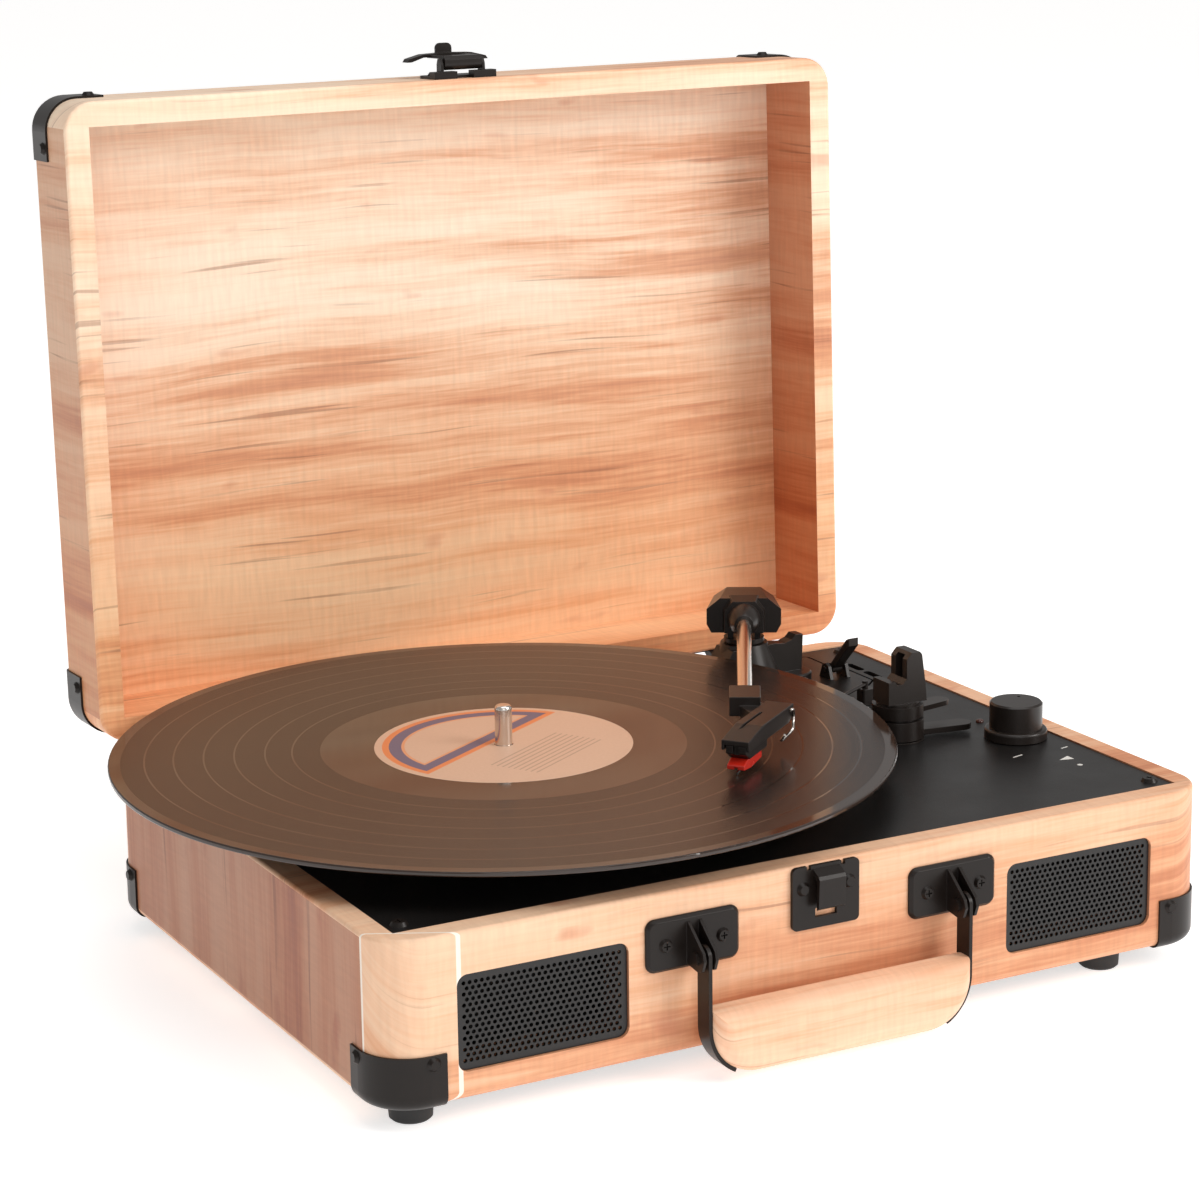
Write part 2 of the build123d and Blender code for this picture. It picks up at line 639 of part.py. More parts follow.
def hinge_leaf(upward, spans):
    """Leaves of both hinges for one case half: plates on the back wall with knuckles."""
    up = 1 if upward else -1
    with BuildPart() as leaf:
        for x in (-HINGE_X, HINGE_X):
            with BuildSketch(Plane.XZ.offset(-HALF_DEPTH)):
                with Locations((x, HINGE_Z + up * (8 + LEAF_HEIGHT / 2))):
                    RectangleRounded(LEAF_WIDTH, LEAF_HEIGHT, 2)
                    with Locations((-8, up * 4), (8, up * 4)):
                        Circle(1.5, mode=Mode.SUBTRACT)
            extrude(amount=-LEAF_THICKNESS)
            for low, high in spans:
                with BuildSketch(Plane.YZ.offset(x + low)):
                    with Locations((HINGE_Y, HINGE_Z)):
                        Circle(KNUCKLE_RADIUS)
                    with BuildLine():
                        Polyline(
                            (BACK_Y, HINGE_Z + up * 9),
                            (BACK_Y, HINGE_Z + up * 4.6),
                            (HINGE_Y - 3, HINGE_Z + up * 0.6),
                            (HINGE_Y + 0.5, HINGE_Z + up * 3),
                            (BACK_Y + LEAF_THICKNESS, HINGE_Z + up * 9),
                            close=True,
                        )
                    make_face()
                    with Locations((HINGE_Y, HINGE_Z)):
                        Circle(HINGE_PIN_RADIUS + RUNNING, mode=Mode.SUBTRACT)
                extrude(amount=high - low)
    return leaf


hinge_base_leaves = hinge_leaf(False, [(-13, -5), (5, 13)])
save(hinge_base_leaves, "hinge_base_leaves")
hinge_lid_leaves = hinge_leaf(True, [(-4.7, 4.7)])
save_open(hinge_lid_leaves, "hinge_lid_leaves")

with BuildPart() as hinge_pins:
    for hinge_x in (-HINGE_X, HINGE_X):
        with BuildSketch(Plane.YZ.offset(hinge_x - 13.4)):
            with Locations((HINGE_Y, HINGE_Z)):
                Circle(HINGE_PIN_RADIUS)
        extrude(amount=26.8)
save(hinge_pins, "hinge_pins")


def screws(planes):
    """Domed cross-slot screws whose heads stand on the given planes."""
    with BuildPart() as group:
        for plane in planes:
            with BuildSketch(plane):
                Circle(SCREW_HEAD_RADIUS)
            extrude(amount=1.2, taper=30)
            with BuildSketch(plane):
                Circle(SCREW_RADIUS)
            extrude(amount=-SCREW_LENGTH)
            with BuildSketch(plane.offset(1.2)):
                Rectangle(SCREW_HEAD_RADIUS, 0.5)
                Rectangle(0.5, SCREW_HEAD_RADIUS)
            extrude(amount=-0.7, mode=Mode.SUBTRACT)
    return group




base_screws = screws(base_screw_planes)
save(base_screws, "base_screws")
hinge_lid_screws = screws(hinge_screw_planes(1))
save_open(hinge_lid_screws, "hinge_lid_screws")

# ---------------------------------------------------------------- carrying handle
EAR_OFFSET = 2.4
EAR_THICKNESS = 1.2
GRIP_HALF = HANDLE_X - STRAP_THICKNESS / 2
GRIP_CORNER = 19.0

for side, side_name in ((-1, "left"), (1, "right")):
    with BuildPart() as handle_plate:
        with BuildSketch(Plane.XZ.offset(HALF_DEPTH)):
            with Locations((side * HANDLE_X, HANDLE_PLATE_Z)):
                RectangleRounded(HANDLE_PLATE_WIDTH, HANDLE_PLATE_HEIGHT, 3.6)
        extrude(amount=HANDLE_PLATE_THICKNESS)
        chamfer(handle_plate.edges().group_by(Axis.Y)[0], 1.2)
        with BuildSketch(Plane.XZ.offset(HALF_DEPTH)):
            with Locations((side * HANDLE_X, HANDLE_PLATE_Z)):
                with Locations((-HANDLE_SCREW_REACH, 0), (HANDLE_SCREW_REACH, 0)):
                    Circle(1.4)
        extrude(amount=HANDLE_PLATE_THICKNESS, mode=Mode.SUBTRACT)
        for ear in (-EAR_OFFSET, EAR_OFFSET):
            with BuildSketch(Plane.YZ.offset(side * HANDLE_X + ear - EAR_THICKNESS / 2)):
                with BuildLine():
                    Polyline(
                        (FRONT_Y - 1, HANDLE_PIVOT_Z + 11.5),
                        (FRONT_Y - 2.4, HANDLE_PIVOT_Z + 11.5),
                        (HANDLE_PIVOT_Y - 3.9, HANDLE_PIVOT_Z + 3),
                        (HANDLE_PIVOT_Y - 5, HANDLE_PIVOT_Z),
                        (HANDLE_PIVOT_Y - 3.4, HANDLE_PIVOT_Z - 4),
                        (HANDLE_PIVOT_Y, HANDLE_PIVOT_Z - 5),
                        (FRONT_Y - 1, HANDLE_PIVOT_Z - 4),
                        close=True,
                    )
                make_face()
                with Locations((HANDLE_PIVOT_Y, HANDLE_PIVOT_Z)):
                    Circle(RIVET_RADIUS, mode=Mode.SUBTRACT)
            extrude(amount=EAR_THICKNESS)
    save(handle_plate, f"handle_plate_{side_name}")

    # flat steel strap: an eye on the rivet, down beside the grip and round its lower corner
    with BuildPart() as handle_strap:
        with BuildSketch(Plane.XZ.offset(-(GRIP_Y + 1 + STRAP_WIDTH / 2))):
            with BuildLine():
                strap_bend = (side * HANDLE_X, GRIP_BOTTOM + GRIP_CORNER - STRAP_THICKNESS / 2)
                Line((side * HANDLE_X, HANDLE_PIVOT_Z + 5), strap_bend)
                JernArc(strap_bend, (0, -1), GRIP_CORNER, -side * 62)
            trace(line_width=STRAP_THICKNESS)
        extrude(amount=STRAP_WIDTH)
        # the upper end narrows to a round eye
        with BuildSketch(Plane.YZ.offset(side * HANDLE_X - 3)):
            with Locations((GRIP_Y, HANDLE_PIVOT_Z + 5)):
                Rectangle(GRIP_THICKNESS + 2, 22)
            with BuildLine():
                Polyline(
                    (HANDLE_PIVOT_Y - 4.4, HANDLE_PIVOT_Z + 1),
                    (HANDLE_PIVOT_Y - 4.4, HANDLE_PIVOT_Z - 3),
                    (GRIP_Y + 0.9 - STRAP_WIDTH / 2, HANDLE_PIVOT_Z - 7),
                    (GRIP_Y + 1.1 + STRAP_WIDTH / 2, HANDLE_PIVOT_Z - 7),
                    (HANDLE_PIVOT_Y + 4.4, HANDLE_PIVOT_Z - 3),
                    (HANDLE_PIVOT_Y + 4.4, HANDLE_PIVOT_Z + 1),
                    close=True,
                )
            make_face(mode=Mode.SUBTRACT)
            with Locations((HANDLE_PIVOT_Y, HANDLE_PIVOT_Z)):
                Circle(4.5, mode=Mode.SUBTRACT)
        extrude(amount=6, mode=Mode.SUBTRACT)
        with BuildSketch(Plane.YZ.offset(side * HANDLE_X - 3)):
            with Locations((HANDLE_PIVOT_Y, HANDLE_PIVOT_Z)):
                Circle(RIVET_RADIUS + RUNNING)
        extrude(amount=6, mode=Mode.SUBTRACT)
    save(handle_strap, f"handle_strap_{side_name}")

with BuildPart() as handle_rivets:
    for side in (-1, 1):
        with BuildSketch(Plane.YZ.offset(side * HANDLE_X - 4)):
            with Locations((HANDLE_PIVOT_Y, HANDLE_PIVOT_Z)):
                Circle(RIVET_RADIUS)
        extrude(amount=8)
        for end in (-4.2, 3.0):
            with BuildSketch(Plane.YZ.offset(side * HANDLE_X + end)):
                with Locations((HANDLE_PIVOT_Y, HANDLE_PIVOT_Z)):
                    Circle(2.4)
            extrude(amount=1.2)
save(handle_rivets, "handle_rivets")

with BuildPart() as handle_grip:
    with BuildSketch(Plane.XZ.offset(-(GRIP_Y + GRIP_THICKNESS / 2))) as grip_side:
        with Locations((0, (GRIP_TOP + GRIP_BOTTOM) / 2)):
            Rectangle(2 * GRIP_HALF, GRIP_TOP - GRIP_BOTTOM)
        fillet(grip_side.vertices().group_by(Axis.Y)[0], GRIP_CORNER - STRAP_THICKNESS / 2)
    extrude(amount=GRIP_THICKNESS)
    face_edges = handle_grip.edges().group_by(Axis.Y)
    fillet(face_edges[0] + face_edges[-1], 6.0)
save(handle_grip, "handle_grip")

# ---------------------------------------------------------------- platter and record
with BuildPart() as platter_bearing:
    with BuildSketch(Plane.XY.offset(50)):
        with Locations((RECORD_X, RECORD_Y)):
            Circle(BEARING_RADIUS)
    extrude(amount=DECK_TOP + 1.5 - 50)
    with BuildSketch(Plane.XY.offset(DECK_TOP)):
        with Locations((RECORD_X, RECORD_Y)):
            Circle(11)
    extrude(amount=1.5)
    with BuildSketch(Plane.XY.offset(50)):
        with Locations((RECORD_X, RECORD_Y)):
            Circle(SPINDLE_RADIUS + RUNNING)
    extrude(amount=30, mode=Mode.SUBTRACT)
save(platter_bearing, "platter_bearing")

with BuildPart() as spindle:
    with BuildSketch(Plane.XY.offset(SPINDLE_BOTTOM)):
        with Locations((RECORD_X, RECORD_Y)):
            Circle(SPINDLE_RADIUS)
    extrude(amount=RECORD_TOP + 0.2 - SPINDLE_BOTTOM)
    with BuildSketch(Plane.XY.offset(RECORD_TOP + 0.2)):
        with Locations((RECORD_X, RECORD_Y)):
            Circle(SPINDLE_TIP_RADIUS)
    extrude(amount=SPINDLE_TOP - RECORD_TOP - 0.2)
    fillet(spindle.edges().group_by(Axis.Z)[-1], 1.6)
save(spindle, "spindle")

HUB_LOW = DECK_TOP + 2.0
with BuildPart() as platter:
    with BuildSketch(Plane.XY.offset(HUB_LOW)):
        with Locations((RECORD_X, RECORD_Y)):
            Circle(10)
    extrude(amount=PLATTER_TOP - HUB_LOW)
    with BuildSketch(Plane.XY.offset(PLATTER_TOP - 2)):
        with Locations((RECORD_X, RECORD_Y)):
            Circle(PLATTER_RADIUS)
    extrude(amount=2)
    fillet(platter.edges().group_by(Axis.Z)[-1], 0.8)
    with BuildSketch(Plane.XY.offset(HUB_LOW + 1)):
        with Locations((RECORD_X, RECORD_Y)):
            Circle(PLATTER_RADIUS)
            Circle(PLATTER_RADIUS - 2, mode=Mode.SUBTRACT)
            Circle(DRIVE_RIM_RADIUS)
            Circle(DRIVE_RIM_RADIUS - 2.5, mode=Mode.SUBTRACT)
    extrude(amount=PLATTER_TOP - HUB_LOW - 2)
    with BuildSketch(Plane.XY.offset(HUB_LOW)):
        with Locations((RECORD_X, RECORD_Y)):
            Circle(SPINDLE_RADIUS)
    extrude(amount=20, mode=Mode.SUBTRACT)
save(platter, "platter")

with BuildPart() as platter_mat:
    with BuildSketch(Plane.XY.offset(PLATTER_TOP)):
        with Locations((RECORD_X, RECORD_Y)):
            Circle(MAT_RADIUS)
            Circle(SPINDLE_RADIUS + 1, mode=Mode.SUBTRACT)
    extrude(amount=MAT_THICKNESS)
save(platter_mat, "platter_mat")

with BuildPart() as record:
    with BuildSketch(Plane.XY.offset(RECORD_BOTTOM)):
        with Locations((RECORD_X, RECORD_Y)):
            Circle(RECORD_RADIUS)
            Circle(RECORD_HOLE_RADIUS, mode=Mode.SUBTRACT)
    extrude(amount=RECORD_THICKNESS)
    rim = record.edges().filter_by(GeomType.CIRCLE).sort_by(SortBy.RADIUS)[-2:]
    fillet(rim, 0.6)
save(record, "record")

# ---------------------------------------------------------------- motor, pulley and belt
with BuildPart() as drive_motor:
    with BuildSketch(Plane.XY.offset(MOTOR_BOTTOM)):
        with Locations((PULLEY_X, PULLEY_Y)):
            Circle(MOTOR_RADIUS)
    extrude(amount=MOTOR_TOP - MOTOR_BOTTOM)
    chamfer(drive_motor.edges().group_by(Axis.Z)[0], 1.5)
    # mounting tabs that reach up to the mechanism plate
    with BuildSketch(Plane.XY.offset(MOTOR_TOP - 2)):
        with Locations((PULLEY_X, PULLEY_Y)):
            Rectangle(46, 12)
    extrude(amount=2)
    with BuildSketch(Plane.XY.offset(MOTOR_TOP)):
        with Locations((PULLEY_X - 19, PULLEY_Y), (PULLEY_X + 19, PULLEY_Y)):
            Circle(3)
    extrude(amount=DECK_BOTTOM - MOTOR_TOP)
    with BuildSketch(Plane.XY.offset(MOTOR_BOTTOM + 8)):
        with Locations((PULLEY_X, PULLEY_Y)):
            Circle(MOTOR_SHAFT_RADIUS + RUNNING)
    extrude(amount=20, mode=Mode.SUBTRACT)
save(drive_motor, "drive_motor")

with BuildPart() as motor_pulley:
    with BuildSketch(Plane.XY.offset(MOTOR_BOTTOM + 9)):
        with Locations((PULLEY_X, PULLEY_Y)):
            Circle(MOTOR_SHAFT_RADIUS)
    extrude(amount=BELT_HIGH + 0.6 - MOTOR_BOTTOM - 9)
    with BuildSketch(Plane.XY.offset(BELT_LOW - 3)):
        with Locations((PULLEY_X, PULLEY_Y)):
            Circle(PULLEY_RADIUS)
    extrude(amount=BELT_HIGH - BELT_LOW + 3.4)
    with BuildSketch(Plane.XY.offset(BELT_LOW - 3)):
        with Locations((PULLEY_X, PULLEY_Y)):
            Circle(PULLEY_RADIUS + 1.6)
    extrude(amount=1.6)
save(motor_pulley, "motor_pulley")

with BuildSketch(Plane.XY) as belt_path:
    with Locations((RECORD_X, RECORD_Y)):
        Circle(DRIVE_RIM_RADIUS + BELT_GAP)
    with Locations((PULLEY_X, PULLEY_Y)):
        Circle(PULLEY_RADIUS + BELT_GAP)
    make_hull()

with BuildPart() as drive_belt:
    with BuildSketch(Plane.XY.offset(BELT_LOW)):
        add(belt_path.sketch)
        offset(amount=BELT_THICKNESS, mode=Mode.REPLACE)
        add(belt_path.sketch, mode=Mode.SUBTRACT)
    extrude(amount=BELT_HIGH - BELT_LOW)
save(drive_belt, "drive_belt")

# ---------------------------------------------------------------- tonearm stand and swivel
STAND_TOP = RIM_Z + 17.0
YOKE_LOW = STAND_TOP + 0.4
CAVITY_HALF = 9.4
PIN_RADIUS = 1.2
ARM_PIN_AXIS = ARM_ANGLE + 90

with BuildPart() as tonearm_stand:
    with BuildSketch(Plane((104, 93, DECK_TOP))):
        RectangleRounded(44, 34, 9)
    extrude(amount=3.6)
    chamfer(tonearm_stand.edges().group_by(Axis.Z)[-1], 0.6)
    # flared column round the swivel bore
    with BuildSketch(Plane.XY.offset(DECK_TOP + 3.6)):
        with Locations((PIVOT_X, PIVOT_Y)):
            Circle(15)
    with BuildSketch(Plane.XY.offset(STAND_TOP)):
        with Locations((PIVOT_X, PIVOT_Y)):
            Circle(10)
    loft()
    # upright shield on the right, its top edge cut to a saddle
    with BuildSketch(Plane.XZ.offset(-84)):
        with BuildLine():
            Polyline(
                (PIVOT_X, DECK_TOP + 3),
                (122, DECK_TOP + 3),
                (122.6, RIM_Z + 18.6),
                (119, RIM_Z + 18.8),
                (117, RIM_Z + 16.8),
                (113.5, RIM_Z + 15.6),
                (109, RIM_Z + 16.2),
                (PIVOT_X, RIM_Z + 15.5),
                close=True,
            )
        make_face()
    extrude(amount=-6)
    with BuildSketch(Plane.XZ.offset(-84)):
        with BuildLine():
            Polyline(
                (PIVOT_X, DECK_TOP + 3),
                (80, DECK_TOP + 3),
                (88, RIM_Z + 15.5),
                (PIVOT_X, RIM_Z + 15.5),
                close=True,
            )
        make_face()
    extrude(amount=-14)
    with BuildSketch(Plane.XY.offset(DECK_BOTTOM - 4)):
        with Locations((PIVOT_X, PIVOT_Y)):
            Circle(STAND_BORE_RADIUS + 1.9)
    extrude(amount=DECK_TOP - DECK_BOTTOM + 5)
    with BuildSketch(Plane.XY.offset(DECK_BOTTOM - 4)):
        with Locations((PIVOT_X, PIVOT_Y)):
            Circle(STAND_BORE_RADIUS)
    extrude(amount=40, mode=Mode.SUBTRACT)
save(tonearm_stand, "tonearm_stand")

with BuildPart() as tonearm_yoke:
    with BuildSketch(Plane.XY.offset(DECK_BOTTOM - 5)):
        with Locations((PIVOT_X, PIVOT_Y)):
            Circle(STAND_BORE_RADIUS - RUNNING)
    extrude(amount=YOKE_LOW - DECK_BOTTOM + 5)
    with BuildSketch(Plane.XY.offset(YOKE_LOW)):
        with Locations((PIVOT_X, PIVOT_Y)):
            Circle(8.6)
    extrude(amount=2)
    with BuildSketch(arm_level(YOKE_LOW + 2)):
        with Locations((0, 0)):
            Rectangle(7, 14)
            Rectangle(8, 9, mode=Mode.SUBTRACT)
    extrude(amount=ARM_AXIS_Z + 2.4 - YOKE_LOW - 2)
    # trunnion pins stick out of both cheeks, across the arm
    with BuildSketch(Plane((PIVOT_X, PIVOT_Y, ARM_AXIS_Z), z_dir=direction(ARM_PIN_AXIS))):
        Circle(PIN_RADIUS)
    extrude(amount=13, both=True)
    with BuildSketch(arm_level(YOKE_LOW + 2)):
        Rectangle(8, 9)
    extrude(amount=14, mode=Mode.SUBTRACT)
save(tonearm_yoke, "tonearm_yoke")

# ---------------------------------------------------------------- tonearm, pivot to head
HOUSING_BOTTOM = RIM_Z + 22.4
HOUSING_TOP = RIM_Z + 38.0
HOUSING_REAR = -17.0
HOUSING_FRONT = 11.0
HOUSING_HALF = 15.8

with BuildPart() as tonearm_housing:
    # faceted body: bevelled shoulders, a rear that narrows
    for station, half, top, drop in (
        (HOUSING_REAR, HOUSING_HALF - 3, HOUSING_TOP - 1.5, 1.0),
        (HOUSING_FRONT - 4.5, HOUSING_HALF, HOUSING_TOP - 0.6, 0),
    ):
        with BuildSketch(arm_plane(station)):
            with BuildLine():
                Polyline(
                    (-half + 2, HOUSING_BOTTOM + drop - ARM_AXIS_Z),
                    (half - 2, HOUSING_BOTTOM + drop - ARM_AXIS_Z),
                    (half, -3.4),
                    (half, 3.2),
                    (half - 5.6, top - ARM_AXIS_Z),
                    (-half + 5.6, top - ARM_AXIS_Z),
                    (-half, 3.2),
                    (-half, -3.4),
                    close=True,
                )
            make_face()
    loft()
    # hood over the root of the tube
    for station, half, top in ((HOUSING_FRONT - 8, 9.4, HOUSING_TOP), (HOUSING_FRONT, 8.2, HOUSING_TOP - 1)):
        with BuildSketch(arm_plane(station)):
            with BuildLine():
                Polyline(
                    (-half, -6.2), (half, -6.2), (half, 3.4),
                    (half - 3.4, top - ARM_AXIS_Z), (-half + 3.4, top - ARM_AXIS_Z), (-half, 3.4),
                    close=True,
                )
            make_face()
    loft()
    # domed collar that takes the tube
    with BuildSketch(arm_plane(HOUSING_FRONT)):
        Circle(7.0)
    with BuildSketch(arm_plane(HOUSING_FRONT + 5)):
        Circle(6.0)
    with BuildSketch(arm_plane(HOUSING_FRONT + 9.5)):
        Circle(3.9)
    loft()
    with BuildSketch(arm_plane(HOUSING_FRONT - 2)):
        Circle(TUBE_RADIUS)
    extrude(amount=14, mode=Mode.SUBTRACT)
    with BuildSketch(arm_level(HOUSING_BOTTOM - 1)):
        with Locations((-1.5, 0)):
            Rectangle(12, 2 * CAVITY_HALF)
    extrude(amount=ARM_AXIS_Z + 4.5 - HOUSING_BOTTOM + 1, mode=Mode.SUBTRACT)
    with BuildSketch(Plane((PIVOT_X, PIVOT_Y, ARM_AXIS_Z), z_dir=direction(ARM_PIN_AXIS))):
        Circle(PIN_RADIUS + RUNNING)
    extrude(amount=13.4, both=True, mode=Mode.SUBTRACT)
save(tonearm_housing, "tonearm_housing")

with BuildPart() as tonearm_tube:
    with BuildSketch(arm_plane(HOUSING_FRONT - 2)):
        Circle(TUBE_RADIUS)
        Circle(TUBE_RADIUS - 0.7, mode=Mode.SUBTRACT)
    extrude(amount=TUBE_END - HOUSING_FRONT + 2)
save(tonearm_tube, "tonearm_tube")

BLOCK_START = 125.0
BLOCK_END = 142.0
BLOCK_HALF = 6.0
BLOCK_TOP = 3.2
BLOCK_BOTTOM = -4.4

# headshell: local X runs from its front edge backwards, local Y to the arm's left
HEAD_HALF = HEAD_WIDTH / 2
HEAD_SKIRT = 1.1

def head_side(lateral):
    """Upright plane along the headshell: local X backwards, local Y up from the rim."""
    sideways = direction(HEAD_ANGLE - 90)
    origin = Vector(HEAD_X, HEAD_Y, RIM_Z) - sideways * lateral
    return Plane(origin, x_dir=direction(HEAD_ANGLE), z_dir=sideways)


# thin shell, open below, with a nose that slopes down at the front
with BuildPart() as headshell:
    with BuildSketch(head_side(HEAD_HALF)):
        with BuildLine():
            Polyline(
                (-1.5, 24.6), (-1.5, 28.4), (13, 31), (HEAD_LENGTH, 31),
                (HEAD_LENGTH, 26.4), (HEAD_LENGTH - 5, 24.6), close=True,
            )
        make_face()
    extrude(amount=HEAD_WIDTH)
    with BuildSketch(head_side(HEAD_HALF - HEAD_SKIRT)):
        with BuildLine():
            Polyline(
                (-2, 24), (-2, 26.4), (13, 28.8), (HEAD_LENGTH - 1.2, 28.8),
                (HEAD_LENGTH - 1.2, 24), close=True,
            )
        make_face()
    extrude(amount=HEAD_WIDTH - 2 * HEAD_SKIRT, mode=Mode.SUBTRACT)
    # ear that joins the plate to the socket block of the tube
    with BuildSketch(arm_level(HEAD_TOP - 6.4)):
        with BuildLine():
            Polyline(
                (BLOCK_END, -2), (BLOCK_END + 10, 2.5), (BLOCK_END + 12, 8),
                (BLOCK_END - 2.5, 10.5), (BLOCK_END - 6, BLOCK_HALF), (BLOCK_END, BLOCK_HALF),
                close=True,
            )
        make_face()
    extrude(amount=4.6)
    # square block the tube is pressed into
    with BuildSketch(arm_plane(BLOCK_START)):
        with Locations((0, (BLOCK_TOP + BLOCK_BOTTOM) / 2)):
            Rectangle(2 * BLOCK_HALF, BLOCK_TOP - BLOCK_BOTTOM)
    extrude(amount=BLOCK_END - BLOCK_START)
    with BuildSketch(arm_plane(BLOCK_START)):
        Circle(TUBE_RADIUS)
    extrude(amount=TUBE_END - BLOCK_START, mode=Mode.SUBTRACT)
    # channel where the lead wires run, along the top
    with BuildSketch(head_level(HEAD_TOP)):
        with Locations((18, 1.6)):
            Rectangle(24, 0.9)
    extrude(amount=-0.9, mode=Mode.SUBTRACT)
save(headshell, "headshell")

CARTRIDGE_BOTTOM = RIM_Z + 20.6
CARTRIDGE_HALF = 4.1

with BuildPart() as cartridge:
    with BuildSketch(head_side(CARTRIDGE_HALF)):
        with BuildLine():
            Polyline(
                (3.4, CARTRIDGE_BOTTOM - RIM_Z), (-0.8, 23.2), (-0.8, 26.2), (2, 26.8), (13, 28.6),
                (21, 28.6), (21, CARTRIDGE_BOTTOM - RIM_Z), close=True,
            )
        make_face()
    extrude(amount=2 * CARTRIDGE_HALF)
    # sprung mounting lugs seen as two ribs on the nose
    with BuildSketch(head_side(1.1)):
        with Locations((-0.4, 24.6)):
            Rectangle(2.4, 4)
    extrude(amount=2.2, mode=Mode.SUBTRACT)
save(cartridge, "cartridge")


HOLDER_HALF = 3.5
STYLUS_TIP = RECORD_TOP + STYLUS_CLEARANCE - RIM_Z

with BuildPart() as stylus_holder:
    with BuildSketch(head_side(HOLDER_HALF)):
        with BuildLine():
            Polyline(
                (-1, 17.2), (-1, 18.8), (2.5, CARTRIDGE_BOTTOM - RIM_Z),
                (17, CARTRIDGE_BOTTOM - RIM_Z), (17, 17.6), (6, 16.5), close=True,
            )
        make_face()
    extrude(amount=2 * HOLDER_HALF)
    with BuildSketch(head_side(0.7)):
        with Locations((3, 16)):
            Rectangle(10, 4.2)
    extrude(amount=1.4, mode=Mode.SUBTRACT)
save(stylus_holder, "stylus_holder")

with BuildPart() as stylus:
    with BuildSketch(head_side(0.3)):
        with BuildLine():
            Polyline(
                (8, 17.6), (8, 16.9), (1.6, 15.3), (1.0, STYLUS_TIP),
                (0.7, STYLUS_TIP), (0.5, 15.9), close=True,
            )
        make_face()
    extrude(amount=0.6)
save(stylus, "stylus")

# bent wire that hangs beside the right skirt
with BuildPart() as finger_lift:
    with BuildLine(head_side(-HEAD_HALF - 0.8)) as lift_wire:
        Spline(
            (40, 29.6), (43.6, 28), (43, 24), (38.5, 21), (34, 21.6),
            tangents=[(1, 0.1), (-0.8, 0.9)],
        )
    with BuildSketch(Plane(lift_wire.line @ 0, z_dir=lift_wire.line % 0)):
        Circle(0.55)
    sweep()
save(finger_lift, "finger_lift")

# ---------------------------------------------------------------- tonearm rest and its levers
with BuildPart() as arm_rest:
    with BuildSketch(Plane.XY.offset(DECK_TOP)):
        with Locations((REST_X, REST_Y)):
            Circle(RING_RADIUS)
    extrude(amount=0.7)
    with BuildSketch(Plane.XY.offset(DECK_TOP)):
        with Locations((REST_X, REST_Y)):
            Circle(REST_CORE_RADIUS)
    extrude(amount=16)
    # cradle: low lip, valley and tall post
    with BuildSketch(Plane.XZ.offset(8)):
        with BuildLine():
            Polyline(
                (98.5, RIM_Z + 15.5), (116.6, RIM_Z + 15.5), (116, RIM_Z + 22),
                (114.2, RIM_Z + 34.8), (113.2, RIM_Z + 36), (109.4, RIM_Z + 36), (107, RIM_Z + 33.4),
                (107, RIM_Z + 25.5), (105, RIM_Z + 23.5), (102.5, RIM_Z + 23.5),
                (101.5, RIM_Z + 25), (98.5, RIM_Z + 25), close=True,
            )
        make_face()
    extrude(amount=11.5)
    # slot for the locking tab and the round pivot boss on the far side
    with BuildSketch(Plane.YZ.offset(107)):
        with Locations((REST_Y - 0.7, RIM_Z + 29.8)):
            Rectangle(5, 10)
    extrude(amount=4, mode=Mode.SUBTRACT)
    with BuildSketch(Plane.YZ.offset(114)):
        with Locations((REST_Y - 0.7, RIM_Z + 29)):
            Circle(3)
    extrude(amount=2.6)
save(arm_rest, "arm_rest")


def ring_lever(low, high, radius, tab_low, tab_high, reach, width, angle):
    """Ring that turns on the rest's drum, with a flat finger tab."""
    along = direction(angle)
    with BuildPart() as lever:
        with BuildSketch(Plane.XY.offset(low)):
            with Locations((REST_X, REST_Y)):
                Circle(radius)
        extrude(amount=high - low)
        with BuildSketch(Plane((REST_X, REST_Y, tab_low), x_dir=along, z_dir=(0, 0, 1))):
            with Locations(((reach - width / 2) / 2, 0)):
                Rectangle(reach - width / 2, width)
            with Locations((reach - width / 2, 0)):
                Circle(width / 2)
        extrude(amount=tab_high - tab_low)
        with BuildSketch(Plane.XY.offset(low - 1)):
            with Locations((REST_X, REST_Y)):
                Circle(REST_CORE_RADIUS + RUNNING)
        extrude(amount=high - low + 2, mode=Mode.SUBTRACT)
    return lever


speed_lever = ring_lever(
    RIM_Z + 0.6, RIM_Z + 8.4, RING_RADIUS, RIM_Z + 1, RIM_Z + 3.4, 32, 9, -9
)
save(speed_lever, "speed_lever")
auto_stop_lever = ring_lever(
    RIM_Z + 9.4, RIM_Z + 14.5, RING_RADIUS - 0.2, RIM_Z + 9.5, RIM_Z + 11.5, 27, 8, 11
)
save(auto_stop_lever, "auto_stop_lever")

# ---------------------------------------------------------------- cue lever and lift bar
CUE_PIN_RADIUS = 1.2
LIFT_BAR_Z = RIM_Z + 8.2

